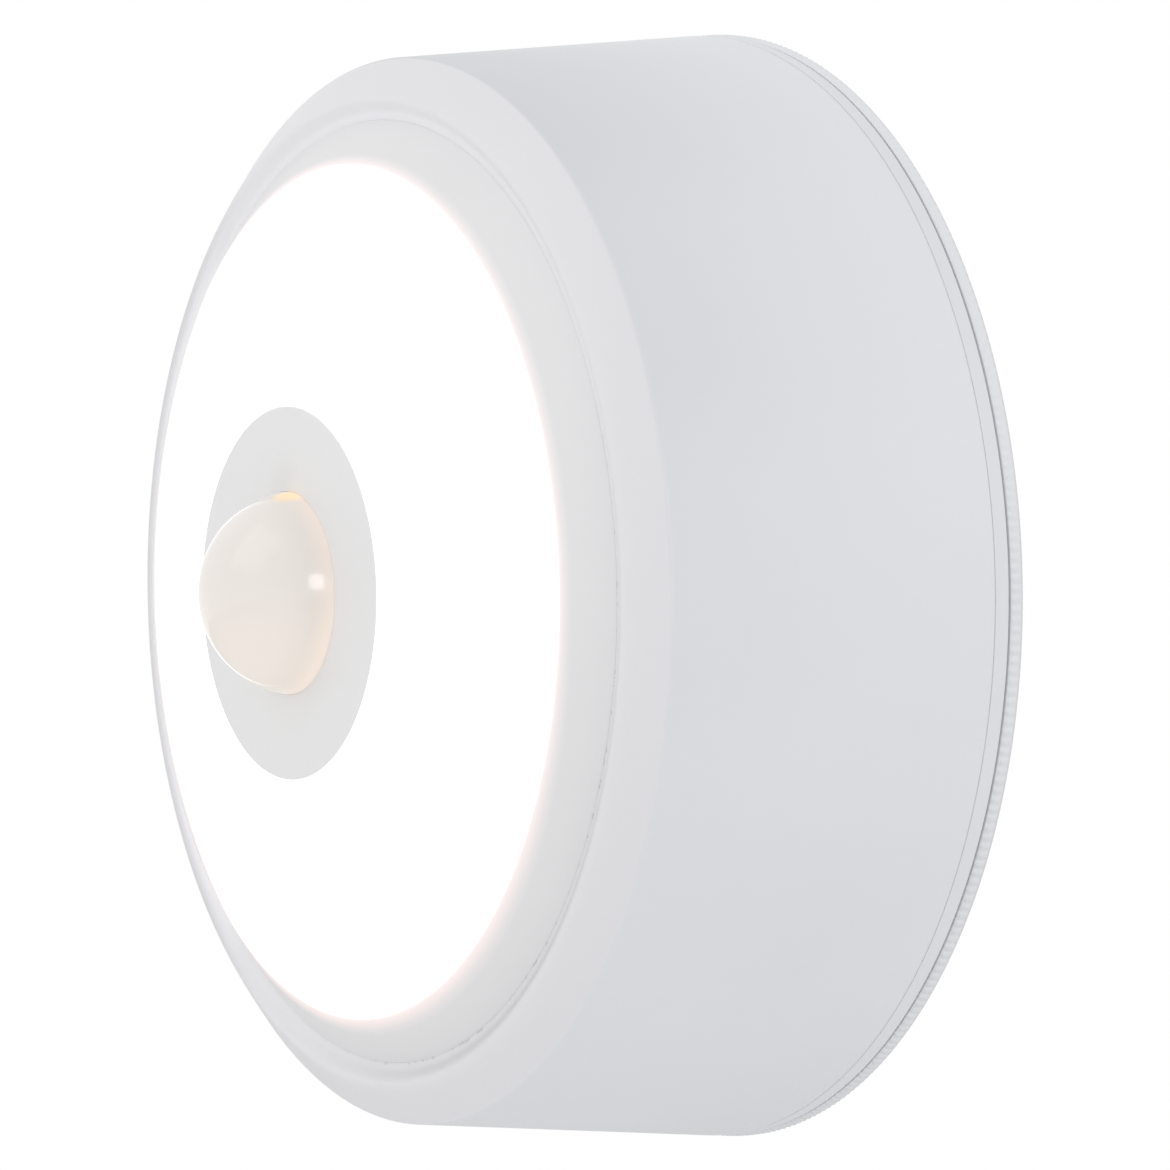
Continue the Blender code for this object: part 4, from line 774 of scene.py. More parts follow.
def moulded(name, colour, roughness, relief=0.000004, grain=2500.0, tone_change=0.012, **sockets):
    """Moulded plastic or rubber."""
    made, tree, shader = new_material(name, **sockets)
    skin = use_group(
        tree,
        moulded_group(),
        {"Colour": colour, "Roughness": roughness, "Tone change": tone_change, "Grain density": grain},
    )
    tree.links.new(skin.outputs["Colour"], shader.inputs["Base Color"])
    tree.links.new(skin.outputs["Roughness"], shader.inputs["Roughness"])
    bumped(tree, shader, skin.outputs["Grain"], relief)
    return made, tree, shader


def streaked(name, colour, roughness, stretch, density):
    """Bare metal."""
    made, tree, shader = new_material(name, Metallic=1.0)
    values = {"Colour": colour, "Roughness": roughness, "Streak stretch": stretch, "Streak density": density}
    metal = use_group(tree, streaked_group(), values)
    tree.links.new(metal.outputs["Colour"], shader.inputs["Base Color"])
    tree.links.new(metal.outputs["Roughness"], shader.inputs["Roughness"])
    bumped(tree, shader, metal.outputs["Streaks"], 0.000005)
    return made


def printed_board(name, mask, trace):
    """A printed circuit board."""
    made, tree, shader = new_material(name, Coat_Weight=0.3, Coat_Roughness=0.2)
    board = use_group(tree, printed_board_group(), {"Mask": mask, "Trace": trace})
    tree.links.new(board.outputs["Colour"], shader.inputs["Base Color"])
    tree.links.new(board.outputs["Roughness"], shader.inputs["Roughness"])
    bumped(tree, shader, board.outputs["Relief"], 0.00003)
    return made


def opal_plastic(colours, sizes):
    """The diffuser: a glowing face with a warm fringe that fades out beside it. The fringe is wider at the
    bottom and on the far side, where the glow also ends further in."""
    made, tree, shader = moulded("Opal plastic", colours.opal, 0.38, relief=0.000002, tone_change=0.006)
    apart = add_node(tree, "ShaderNodeSeparateXYZ", {"Vector": own_place(tree)})
    low = mapped(tree, apart.outputs["Z"], 0.0, -0.055, 0.0, 1.0, smooth=True)
    far = mapped(tree, apart.outputs["X"], -0.04, -0.062, 0.0, 1.0)
    fade_low = mapped(tree, low, 0.0, 1.0, 0.0017, 0.0027)
    fade_far = mapped(tree, far, 0.0, 1.0, 0.0017, 0.0038)
    values = {
        "Inside": colours.glow,
        "Beside": mixed(tree, "RGBA", low, colours.fringe, colours.low_fringe),
        "Radius": mapped(tree, far, 0.0, 1.0, sizes.glow_radius, sizes.glow_radius - 0.0034),
        "Edge width": 0.00015,
        "Fade width": math_node(tree, "MAXIMUM", fade_low, fade_far),
    }
    glow = use_group(tree, fading_ring_group(), values)
    lit(tree, shader, glow.outputs["Colour"])
    return made


def lens_plastic(colours, sizes):
    """The sensor's milky lens: painted light gives it a faint glow, and a warm tint and spot in its foot."""
    made, tree, shader = moulded("Lens plastic", colours.lens, 0.16, relief=0.000001, tone_change=0.01)
    shader.inputs["Coat Weight"].default_value = 0.4
    shader.inputs["Coat Roughness"].default_value = 0.05
    apart = add_node(tree, "ShaderNodeSeparateXYZ", {"Vector": own_place(tree)})
    disc_top = heights("sensor_bezel")[1]
    above = math_node(tree, "MULTIPLY_ADD", apart.outputs["Y"], -1.0, -disc_top)
    # Painted light: warm light of the lit face tints the foot on the side towards +X
    low = mapped(tree, above, 0.0, 0.0045, 1.0, 0.0, smooth=True)
    facing = mapped(tree, apart.outputs["X"], -0.002, 0.008, 0.0, 1.0, smooth=True)
    painted_foot_light = math_node(tree, "MULTIPLY", low, facing)
    colour = mixed(tree, "RGBA", painted_foot_light, skin_colour(tree), colours.painted_lens_foot_light)
    # Painted light: a warm spot at the top of the foot
    top_of_foot = (0.0034, -disc_top - 0.0009, sizes.lens_radius - 0.0005)
    spot = mapped(tree, distance_from(tree, top_of_foot), 0.0012, 0.0036, 1.0, 0.0, smooth=True)
    colour = mixed(tree, "RGBA", spot, colour, colours.painted_lens_spot_light)
    tree.links.new(colour, shader.inputs["Base Color"])
    # Painted light: the lens's own glow stands in for light of the lit face coming through it, stronger in
    # the lower half and the foot
    lower_half = mapped(tree, apart.outputs["Z"], 0.004, -0.012, 0.0, 1.0, smooth=True)
    glow = added(tree, lower_half, colours.lens_glow, colours.low_glow)
    glow = added(tree, mapped(tree, above, 0.0, 0.0035, 1.0, 0.0, smooth=True), glow, colours.foot_glow)
    lit(tree, shader, added(tree, spot, glow, colours.spot_glow))
    return made


def added(tree, factor, first, second):
    """The first colour with a share of the second added to it."""
    return mixed(tree, "RGBA", factor, first, second, "ADD")


def towards_lower_right(tree, radius, across, up):
    """1 in the direction of the lower right, 0 at right angles to it and -1 opposite."""
    part = math_node(tree, "MULTIPLY", across, DIAGONAL)
    return math_node(tree, "DIVIDE", math_node(tree, "MULTIPLY_ADD", up, -DIAGONAL, part), radius)


def plate_plastic(colours, sizes):
    """The mounting plate: a rim with painted light towards the top and painted shade at its back edge. At the
    lower right the grip ribs have painted shade on top and painted light between."""
    made, tree, shader = moulded("Plate plastic", colours.body, 0.42)
    radius, across, along, up = polar_place(tree)
    rim = mapped(tree, radius, sizes.rim_radius - 0.0008, sizes.rim_radius - 0.0006, 0.0, 1.0)
    turned_by = math_node(tree, "ARCTAN2", up, across)
    wave = math_node(tree, "COSINE", math_node(tree, "MULTIPLY", turned_by, float(sizes.rib_count)))
    side = towards_lower_right(tree, radius, across, up)
    # Painted shade and light on the grip ribs, only at the lower right where light grazes them
    painted_rib_shade = product(tree, wave, mapped(tree, side, 0.3, 1.0, 0.0, 0.05))
    # Painted shade at the rim's back edge, and painted light towards the top
    edge = mapped(tree, along, -0.0006, -0.0002, 0.0, 0.2)
    painted_top_light = mapped(tree, up, -0.06, 0.06, 0.02, 0.095)
    darker = math_node(tree, "SUBTRACT", math_node(tree, "ADD", painted_rib_shade, edge), painted_top_light)
    level = math_node(tree, "SUBTRACT", 1.0, product(tree, darker, rim))
    tree.links.new(scaled(tree, skin_colour(tree), level), shader.inputs["Base Color"])
    return made


def disc_plastic(colours, sizes):
    """The disc round the lens: a soft shadow just above the lens."""
    made, tree, shader = moulded("Disc plastic", colours.disc, 0.45)
    over = (0.0, -heights("sensor_bezel")[1], sizes.lens_radius + 0.0012)
    level = mapped(tree, distance_from(tree, over), 0.0008, 0.006, 0.965, 1.0, smooth=True)
    tree.links.new(scaled(tree, skin_colour(tree), level), shader.inputs["Base Color"])
    return made


def housing_plastic(colours, sizes):
    """The housing: a wall with painted light and shade that change with depth and height, and a nose in a
    lighter tone of its own, painted light where it faces the front. The valley beside the joint line has
    painted shade with dust and specks at the lower right and painted light at the upper left, and a little
    painted light on its lip. On the far side the rest of the nose has painted shade, and painted light of the
    lit face spills over."""
    made, tree, shader = moulded("Housing plastic", colours.body, 0.42)
    radius, across, along, up = polar_place(tree)
    nose = mapped(tree, along, -0.0001 - sizes.shoulder, -0.0003 - sizes.shoulder, 0.0, 1.0)
    # Painted light and shade on the wall: darker towards its upper front edge and at the very top, lighter
    # towards the back
    forward = mapped(tree, along, -0.01, -sizes.shoulder, -0.3, 0.7)
    tilt = math_node(tree, "MULTIPLY_ADD", up, -1.19, -0.055)
    top_shade = mapped(tree, up, 0.05, 0.078, 1.045, 1.015)
    painted_wall_shading = math_node(tree, "MULTIPLY_ADD", tilt, forward, top_shade)
    wall = scaled(tree, skin_colour(tree), painted_wall_shading)
    # The nose's own tone is painted light where it faces the front lamps
    colour = mixed(tree, "RGBA", nose, wall, colours.nose)
    seam = sizes.seam_radius
    inner = mapped(tree, radius, seam - 0.0003, seam + 0.0015, 0.0, 1.0, smooth=True)
    outer = mapped(tree, radius, seam + 0.0015, seam + 0.0038, 1.0, 0.0, smooth=True)
    side = towards_lower_right(tree, radius, across, up)
    # Painted shade in the valley at the lower right, with dust there, and painted light at the upper left
    dust_and_shade = mapped(tree, side, 0.4, 0.95, 0.0, 0.2)
    depth = math_node(tree, "ADD", dust_and_shade, mapped(tree, side, -0.8, 0.4, -0.09, 0.0))
    shaded = product(tree, inner, outer, nose, depth)
    # A dark line along the joint with specks of dirt, kept to the lower right as painted shade
    line = mapped(tree, radius, seam + 0.0001, seam + 0.0005, 0.2, 0.0)
    specks = mapped(tree, noise(tree, 900.0), 0.56, 0.62, 0.5, 1.6)
    low_right = mapped(tree, side, 0.3, 0.9, 0.0, 1.0)
    grime_and_shade = product(tree, line, specks, low_right)
    # Painted light on the valley's lip, a little more towards the lower right
    lip = mapped(tree, radius, seam + 0.0018, seam + 0.0026, 1.0, 0.0)
    lit_lip = math_node(tree, "MULTIPLY_ADD", lip, mapped(tree, side, -0.5, 0.2, 0.01, 0.02), 1.0)
    clean = math_node(tree, "SUBTRACT", math_node(tree, "SUBTRACT", lit_lip, shaded), grime_and_shade)
    # Painted shade on the rest of the nose on the far side
    crown = mapped(tree, radius, seam + 0.0022, seam + 0.0031, 0.0, 0.14)
    painted_far_shade = product(tree, crown, mapped(tree, across, -0.035, -0.055, 0.0, 1.0), nose)
    level = math_node(tree, "SUBTRACT", clean, painted_far_shade)
    tree.links.new(scaled(tree, colour, level), shader.inputs["Base Color"])
    # Painted light: the glow of the lit face spilling onto the nose on the far side, given as the housing's
    # own light
    painted_spill_light = mapped(tree, radius, seam + 0.0007, seam + 0.0024, 1.0, 0.0)
    far = mapped(tree, across, -0.045, -0.062, 0.0, 0.25)
    lit(tree, shader, grey(tree, product(tree, painted_spill_light, far, nose)))
    return made


def led_phosphor():
    made, tree, shader = moulded("Phosphor", recorded_colour("led_phosphor"), 0.35, tone_change=0.05)
    lit(tree, shader, (1.0, 0.92, 0.7), 2.0)
    return made


def cell_sleeve():
    """A plain dark sleeve with a satin gloss."""
    gloss = {"Metallic": 0.35, "Coat_Weight": 0.5, "Coat_Roughness": 0.12}
    return moulded("Cell sleeve", recorded_colour("cell_sleeve"), 0.3, tone_change=0.03, **gloss)[0]


# Finishes of plain moulded slots. A slot that isn't listed gets the finish of a lead's jacket.
MOULDED_FINISHES = {
    "reflector_white": {"roughness": 0.2, "tone_change": 0.005},
    "dark_plastic": {"roughness": 0.38, "tone_change": 0.08},
    "connector_plastic": {"roughness": 0.34, "tone_change": 0.02, "Subsurface_Weight": 0.1},
    "seal_rubber": {"roughness": 0.7, "relief": 0.00001, "grain": 1500.0, "tone_change": 0.08},
}
JACKET_FINISH = {"roughness": 0.5, "relief": 0.000006, "grain": 1800.0, "tone_change": 0.06}

# Bare metal slots: roughness, how the streaks are pressed together along X, Y and Z, and their density
METAL_FINISHES = {
    "contact_steel": (0.28, (1.0, 1.0, 14.0), 500.0),
    "screw_steel": (0.34, (6.0, 1.0, 6.0), 900.0),
    "can_steel": (0.22, (1.0, 10.0, 1.0), 700.0),
}


def surface(slot):
    """The material for a slot of the record, made when it is first asked for."""
    name = slot.replace("_", " ").capitalize()
    if name in bpy.data.materials:
        return bpy.data.materials[name]
    colours = bpy.context.scene.light_colours
    sizes = bpy.context.scene.light_sizes
    own = recorded_colour(slot)
    if slot == "white_plastic":
        made = moulded(name, colours.body, 0.42)[0]
    elif slot == "back_plastic":
        made = moulded(name, colours.tray, 0.45)[0]
    elif slot == "opal_plastic":
        made = opal_plastic(colours, sizes)
    elif slot == "lens_plastic":
        made = lens_plastic(colours, sizes)
    elif slot == "board_green":
        made = printed_board(name, colours.solder_mask, (0.05, 0.26, 0.11))
    elif slot == "board_white":
        made = printed_board(name, own, (0.88, 0.88, 0.86))
    elif slot == "led_phosphor":
        made = led_phosphor()
    elif slot == "cell_sleeve":
        made = cell_sleeve()
    elif slot in METAL_FINISHES:
        made = streaked(name, own, *METAL_FINISHES[slot])
    else:
        made = moulded(name, own, **MOULDED_FINISHES.get(slot, JACKET_FINISH))[0]
    made.name = name
    return made


# Pieces


def keyhole_outlines(sizes, side):
    """Outlines of one keyhole's head hole and neck."""
    start = side * sizes.keyhole_place
    neck = [(start, sizes.keyhole_neck), (start, -sizes.keyhole_neck)]
    neck += arc(sizes.keyhole_neck, -pi / 2, pi / 2, (start + sizes.keyhole_slide, 0))
    return circle((start, 0), sizes.keyhole_head), neck


def recess_outlines(sizes):
    """Shallow recesses in the plate's back, in three rings, clear of the bar that holds the keyholes."""
    bar = sizes.keyhole_head + RECESS_BAR_MARGIN
    outlines = []
    for inner, outer, count in RECESS_RINGS:
        first = asin(bar / inner)
        spread = (pi - 2 * first) / count
        rib = sizes.recess_rib / (inner + outer)
        for half in (0, pi):
            for index in range(count):
                start = half + first + spread * index + rib
                end = half + first + spread * (index + 1) - rib
                outlines.append(sector(inner, outer, start, end, RECESS_CORNER, RECESS_STEPS))
    return outlines


def bayonet_hook(sizes, index):
    """A bayonet hook: a post and a tab, drawn as one block that is cut free under the tab."""
    under = heights("battery_tray")[0] + FLANGE_THICKNESS + HOOK_PLAY
    inner, outer = HOOK_RADII
    start = 2 * pi * index / HOOK_COUNT - HOOK_POST_ANGLE / 2
    post_end = start + HOOK_POST_ANGLE
    tab_end = post_end + HOOK_TAB_ANGLE
    bottom = sizes.plate_thickness - EMBED
    outline = sector(inner, outer, start, tab_end, HOOK_CORNER, HOOK_STEPS)
    block = prism("hook", [outline], bottom, under + HOOK_THICKNESS)
    room = sector(inner - OVERRUN, outer + OVERRUN, post_end, tab_end + HOOK_TAB_OVERRUN)
    carve(block, prism("under_tab", [room], bottom - OVERRUN, under))
    return block


class CEILINGLIGHT_OT_mounting_plate(bpy.types.Operator):
    """Mounting plate: ribbed rim, keyholes with raised lands, bayonet hooks and a recessed back"""

    bl_idname = "ceiling_light.mounting_plate"
    bl_label = "Mounting plate"

    def execute(self, context):
        sizes = context.scene.light_sizes
        top = sizes.plate_thickness
        valley = sizes.rim_radius - sizes.rib_depth
        ledge = sizes.ledge_radius
        profile = [
            (valley - RIM_EDGE, 0.0),
            (valley, RIM_EDGE),
            (sizes.rim_radius, RIB_MARGIN),
            (sizes.rim_radius, top - RIB_MARGIN),
            (valley, top - RIM_EDGE),
            (valley - RIM_EDGE, top),
            (ledge, top),
            (ledge - LEDGE_OUTER_SLOPE, top + LEDGE_HEIGHT),
            (ledge - LEDGE_WIDTH + LEDGE_INNER_SLOPE, top + LEDGE_HEIGHT),
            (ledge - LEDGE_WIDTH, top),
        ]
        plate = turned("ribbed_mounting_plate", profile, sizes.rib_count * RIB_STEPS, closed=False)
        for vertex in plate.data.vertices:
            radius = hypot(vertex.co.x, vertex.co.z)
            if radius > sizes.rim_radius - sizes.rib_depth / 2:
                wave = (1 - cos(sizes.rib_count * atan2(vertex.co.z, vertex.co.x))) / 2
                narrowed = (radius - sizes.rib_depth * wave) / radius
                vertex.co.x *= narrowed
                vertex.co.z *= narrowed
        land_top = top + LAND_HEIGHT
        land_width = 2 * sizes.keyhole_head + 2 * LAND_MARGIN
        land_size = (land_width + sizes.keyhole_slide, land_width)
        lands = []
        rests = []
        for side in (-1, 1):
            middle = (side * sizes.keyhole_place + sizes.keyhole_slide / 2, 0)
            lands.append(rectangle(middle, land_size, LAND_CORNER))
            rests.append(rectangle((0, side * CELL_REST_PLACE), CELL_REST_SIZE, CELL_REST_CORNER))
        cells_bottom = heights("battery_1")[0]
        fuse(plate, prism("keyhole_lands", lands, top - EMBED, land_top))
        fuse(plate, prism("cell_rests", rests, top - EMBED, cells_bottom - CELL_REST_ROOM))
        fuse(plate, *[bayonet_hook(sizes, index) for index in range(HOOK_COUNT)])
        for side in (-1, 1):
            for outline in keyhole_outlines(sizes, side):
                carve(plate, prism("keyhole", [outline], -OVERRUN, land_top + OVERRUN))
        carve(plate, prism("recesses", recess_outlines(sizes), -OVERRUN, sizes.recess_depth))
        shade(plate)
        plate.data.materials.append(plate_plastic(context.scene.light_colours, sizes))
        dress(plate, "mounting_plate", "white_plastic", "mounting_plate")
        return {"FINISHED"}


def screw_places(kind, count):
    """Places of the screws of one kind."""
    return [place_of(f"{kind}_{number}").xy for number in range(1, count + 1)]


def hook_slots():
    """Outlines of the arc slots that the hooks stand in and turn along."""
    inner, outer = HOOK_RADII
    for index in range(HOOK_COUNT):
        end = 2 * pi * index / HOOK_COUNT + HOOK_POST_ANGLE / 2 + HOOK_PLAY_ANGLE
        start = end - HOOK_POST_ANGLE - 2 * HOOK_PLAY_ANGLE - TWIST
        yield sector(inner - HOOK_PLAY, outer + HOOK_PLAY, start, end, HOOK_SLOT_CORNER)


def pegs(name, places, radius, bottom, top):
    """Round upright pegs, to add to a piece or to bore holes with."""
    return prism(name, [circle(place, radius) for place in places], bottom, top)


class CEILINGLIGHT_OT_battery_tray(bpy.types.Operator):
    """Battery tray: flange with bayonet slots, pocket for the cells, screw cups and bosses"""

    bl_idname = "ceiling_light.battery_tray"
    bl_label = "Battery tray"

    def execute(self, context):
        sizes = context.scene.light_sizes
        bottom, top = heights("battery_tray")
        flange_top = bottom + FLANGE_THICKNESS
        flange = [
            (FLANGE_HOLE, bottom, 0),
            (sizes.flange_radius, bottom, FINE_EDGE),
            (sizes.flange_radius, flange_top, FINE_EDGE),
            (FLANGE_HOLE, flange_top, 0),
        ]
        tray = turned("tray", filleted(flange, closed=False), closed=False)
        ceiling = top - POCKET_WALL
        outside = cut_corners(*POCKET_SIZE)
        inside = cut_corners(*[half - POCKET_WALL for half in POCKET_SIZE])
        fuse(tray, prism("pocket", [outside], bottom + EMBED, top))
        carve(tray, prism("pocket_room", [inside], bottom - OVERRUN, ceiling))
        columns = screw_places("housing_screw", 4)
        board_screws = screw_places("board_screw", 2)
        tower_screws = screw_places("tower_screw", 2)
        board_bottom = heights("control_board")[0]
        cup_top = bottom + CUP_HEIGHT
        boss_foot = ceiling - TOWER_BOSS_DEPTH
        fuse(
            tray,
            pegs("cups", columns, CUP_RADIUS, bottom + EMBED, cup_top),
            pegs("board_bosses", board_screws, BOARD_BOSS_RADIUS, flange_top - EMBED, board_bottom - GAP),
            pegs("tower_bosses", tower_screws, TOWER_BOSS_RADIUS, boss_foot, ceiling + EMBED),
        )
        switch = place_of("mode_switch_knob")
        slot = rectangle((switch.x, switch.y), SWITCH_SLOT_SIZE, SWITCH_SLOT_CORNER)
        carve(
            tray,
            pegs("cup_bores", columns, CUP_BORE_RADIUS, bottom - OVERRUN, bottom + CUP_BORE_DEPTH),
            pegs("cup_holes", columns, SCREW_HOLE, bottom, cup_top + OVERRUN),
            pegs("board_bores", board_screws, SCREW_HOLE, board_bottom - BOARD_BORE_DEPTH, board_bottom),
            pegs("tower_bores", tower_screws, SCREW_HOLE, ceiling - TOWER_BORE_DEPTH, top + OVERRUN),
            prism("hook_slots", hook_slots(), bottom - OVERRUN, flange_top + OVERRUN),
            prism("switch_slot", [slot], bottom - OVERRUN, flange_top + OVERRUN),
        )
        shade(tray, FINE_EDGE)
        dress(tray, "light_unit", "back_plastic", "battery_tray")
        return {"FINISHED"}


def cut_corners(half_length, half_width):
    """Outline of the battery pocket: a rectangle with its corners cut off and softened."""
    along, across = POCKET_CUT
    quarter = [(half_length, half_width - across), (half_length - along, half_width)]
    right = quarter + [(-x, y) for x, y in reversed(quarter)]
    left = [(-x, -y) for x, y in quarter] + [(x, -y) for x, y in reversed(quarter)]
    return filleted([(x, y, POCKET_CORNER) for x, y in right + left])


class CEILINGLIGHT_OT_housing(bpy.types.Operator):
    """Housing: drafted side wall, crowned and sloped nose, inner lip and four screw columns"""

    bl_idname = "ceiling_light.housing"
    bl_label = "Housing"

    def execute(self, context):
        sizes = context.scene.light_sizes
        bottom, top = heights("housing")
        wall = HOUSING_WALL
        lip_top = top - sizes.crown_rise
        lip_bottom = lip_top - wall
        seam = sizes.seam_radius
        crown_edge = seam + sizes.slope_inset
        setback = wall * NOSE_SETBACK_SHARE
        base = sizes.flange_radius
        corners = [
            (seam, lip_bottom, 0),
            (seam, lip_top, 0),
            (seam + sizes.valley_width, lip_top, sizes.nose_round),
            (seam + sizes.crown_inset, top + CROWN_CORNER_LIFT, sizes.nose_round),
            (crown_edge, top - sizes.slope_drop, sizes.nose_round),
            (sizes.wall_top_radius, sizes.shoulder, sizes.shoulder_round),
            (base, bottom, FINE_EDGE),
            (base - STEP_SETBACK, bottom, 0),
            (base - STEP_SETBACK, bottom - STEP_DEPTH, 0),
            (base - wall, bottom - STEP_DEPTH, 0),
            (base - wall, bottom, 0),
            (sizes.wall_top_radius - wall, sizes.shoulder - setback, 0),
            (crown_edge - setback, top - wall - sizes.slope_drop, 0),
            (reach("diffuser") + GAP, lip_bottom, 0),
        ]
        housing = turned("housing_shell", filleted(corners))
        foot = heights("battery_tray")[0] + COLUMN_FOOT
        columns = screw_places("housing_screw", 4)
        fuse(housing, pegs("columns", columns, COLUMN_RADIUS, foot, sizes.shoulder))
        carve(housing, pegs("bores", columns, SCREW_HOLE, foot - OVERRUN, foot + COLUMN_BORE_DEPTH))
        shade(housing)
        housing.data.materials.append(housing_plastic(context.scene.light_colours, sizes))
        dress(housing, "light_unit", "white_plastic", "housing")
        return {"FINISHED"}


class CEILINGLIGHT_OT_diffuser(bpy.types.Operator):
    """Diffuser: domed lit face, steeper unlit band, and the flange that the nose traps"""

    bl_idname = "ceiling_light.diffuser"
    bl_label = "Diffuser"

    def execute(self, context):
        sizes = context.scene.light_sizes
        bottom, disc_top = heights("diffuser")
        flange_radius = reach("diffuser")
        flange_top = bottom + DIFFUSER_FLANGE
        wall = DIFFUSER_WALL
        hole = sizes.bezel_radius + DIFFUSER_HOLE_ROOM
        radius = sizes.seam_radius - SEAM_ROOM
        band_bottom = heights("housing")[1] - sizes.crown_rise + BAND_FOOT_LIFT
        lit_edge_height = band_bottom + sizes.band_rise
        rise = disc_top - lit_edge_height

        def face_height(spot):
            share_out = (spot**2 - hole**2) / (sizes.lit_radius**2 - hole**2)
            return disc_top - rise * share_out

        face = [hole + (sizes.lit_radius - hole) * step / FACE_STEPS for step in range(FACE_STEPS + 1)]
        profile = [(spot, face_height(spot)) for spot in face]
        rest = [
            (sizes.lit_radius, lit_edge_height, 0),
            (radius, band_bottom, BAND_FOOT_ROUND),
            (radius, flange_top, 0),
            (flange_radius, flange_top, 0),
            (flange_radius, bottom, 0),
            (radius - wall, bottom, 0),
            (radius - wall, band_bottom - wall / 2, BAND_INNER_ROUND),
            (sizes.lit_radius, lit_edge_height - wall, 0),
        ]
        profile += filleted(rest, closed=False)[1:]
        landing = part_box("sensor_tower")[1].x + GAP
        for step in range(1, FACE_INNER_STEPS + 1):
            spot = sizes.lit_radius + (landing - sizes.lit_radius) * step / FACE_INNER_STEPS
            profile.append((spot, face_height(spot) - wall))
        profile += [(landing, disc_top - wall), (hole, disc_top - wall)]
        diffuser = turned("opal_diffuser", profile)
        shade(diffuser)
        dress(diffuser, "light_unit", "opal_plastic", "diffuser")
        return {"FINISHED"}


def dome(radius, base):
    """Profile of a half ball over a base height, from its top on the axis out to its foot."""
    angles = [pi / 2 * step / LENS_ARC_STEPS for step in range(LENS_ARC_STEPS + 1)]
    return [(radius * sin(angle), base + radius * cos(angle)) for angle in angles]


class CEILINGLIGHT_OT_sensor_front(bpy.types.Operator):
    """Disc round the lens, and the domed lens itself"""

    bl_idname = "ceiling_light.sensor_front"
    bl_label = "Sensor disc and lens"

    def execute(self, context):
        sizes = context.scene.light_sizes
        skirt_bottom, top = heights("sensor_bezel")
        under = top - DISC_THICKNESS
        lens_base = under - GAP
        at_top = sqrt(sizes.lens_radius**2 - (top - lens_base) ** 2)
        corners = [
            (at_top + DISC_HOLE_ROOM, top, DISC_HOLE_EDGE),
            (sizes.bezel_radius, top, DISC_EDGE),
            (sizes.bezel_radius, under, 0),
            (SKIRT_RADIUS, under, 0),
            (SKIRT_RADIUS, skirt_bottom, SKIRT_EDGE),
            (SKIRT_RADIUS - SKIRT_WALL, skirt_bottom, SKIRT_EDGE),
            (SKIRT_RADIUS - SKIRT_WALL, under, 0),
            (sizes.lens_radius + DISC_UNDER_ROOM, under, 0),
        ]
        disc = turned("sensor_disc", filleted(corners))
        shade(disc)
        disc.data.materials.append(disc_plastic(context.scene.light_colours, sizes))
        dress(disc, "light_unit", "white_plastic", "sensor_bezel")
        inner = sizes.lens_radius - LENS_WALL
        flange = sizes.lens_radius + LENS_FLANGE_WIDTH
        flange_bottom = lens_base - LENS_FLANGE_THICKNESS
        profile = [
            *dome(sizes.lens_radius, lens_base),
            (flange, lens_base),
            (flange, flange_bottom),
            (inner, flange_bottom),
            *reversed(dome(inner, lens_base)),
        ]
        lens = turned("domed_lens", profile, LENS_STEPS, closed=False)
        shade(lens)
        dress(lens, "light_unit", "lens_plastic", "sensor_lens")
        return {"FINISHED"}


class CEILINGLIGHT_OT_cells(bpy.types.Operator):
    """Four D cells with a sleeve, a crimped positive cap and a pressed negative end"""

    bl_idname = "ceiling_light.cells"
    bl_label = "Cells"

    def execute(self, context):
        for number in (1, 2, 3, 4):
            node = f"battery_{number}"
            low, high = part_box(node)
            radius = (high.z - low.z) / 2
            long = high.x - low.x
            corners = [
                (0, long, 0),
                (0.0044, long, 0.0006),
                (0.0047, long - 0.0015, 0.0002),
                (0.0128, long - 0.0017, 0.0003),
                (0.0134, long - 0.0011, 0.0003),
                (radius - 0.0006, long - 0.0013, 0.0004),
                (radius, long - 0.0021, 0.0004),
                (radius, 0.0008, 0.0005),
                (radius - 0.001, 0.0001, 0.0003),
                (0.0135, 0.0004, 0.0003),
                (0.0128, 0.0001, 0.0004),
                (0.004, 0.0, 0.0004),
                (0, 0.0002, 0),
            ]
            cell = turned(f"cell_{number}", filleted(corners, closed=False), CELL_STEPS, closed=False)
            cell.data.materials.append(surface("cell_sleeve"))
            cell.data.materials.append(surface("can_steel"))
            for face in cell.data.polygons:
                centre = face.center
                face.material_index = int(hypot(centre.x, centre.z) < CELL_BARE_RADIUS)
            shade(cell)
            lay_along_x(cell, node, number < 3)
            dress(cell, "light_unit", "cell_sleeve", node)
        return {"FINISHED"}


def lay_along_x(piece, node, towards_plus):
    """Lays a piece that was drawn upright from the mounting face along X, in the place of a CAD node."""
    low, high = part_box(node)
    middle = (low + high) / 2
    to_x = Matrix.Rotation(-pi / 2 if towards_plus else pi / 2, 4, "Z")
    start = low.x if towards_plus else high.x
    move = Matrix.Translation((start, middle.y, middle.z))
    piece.data.transform(move @ to_x @ Matrix.Scale(-1, 4, (0, 1, 0)))
    piece.data.flip_normals()


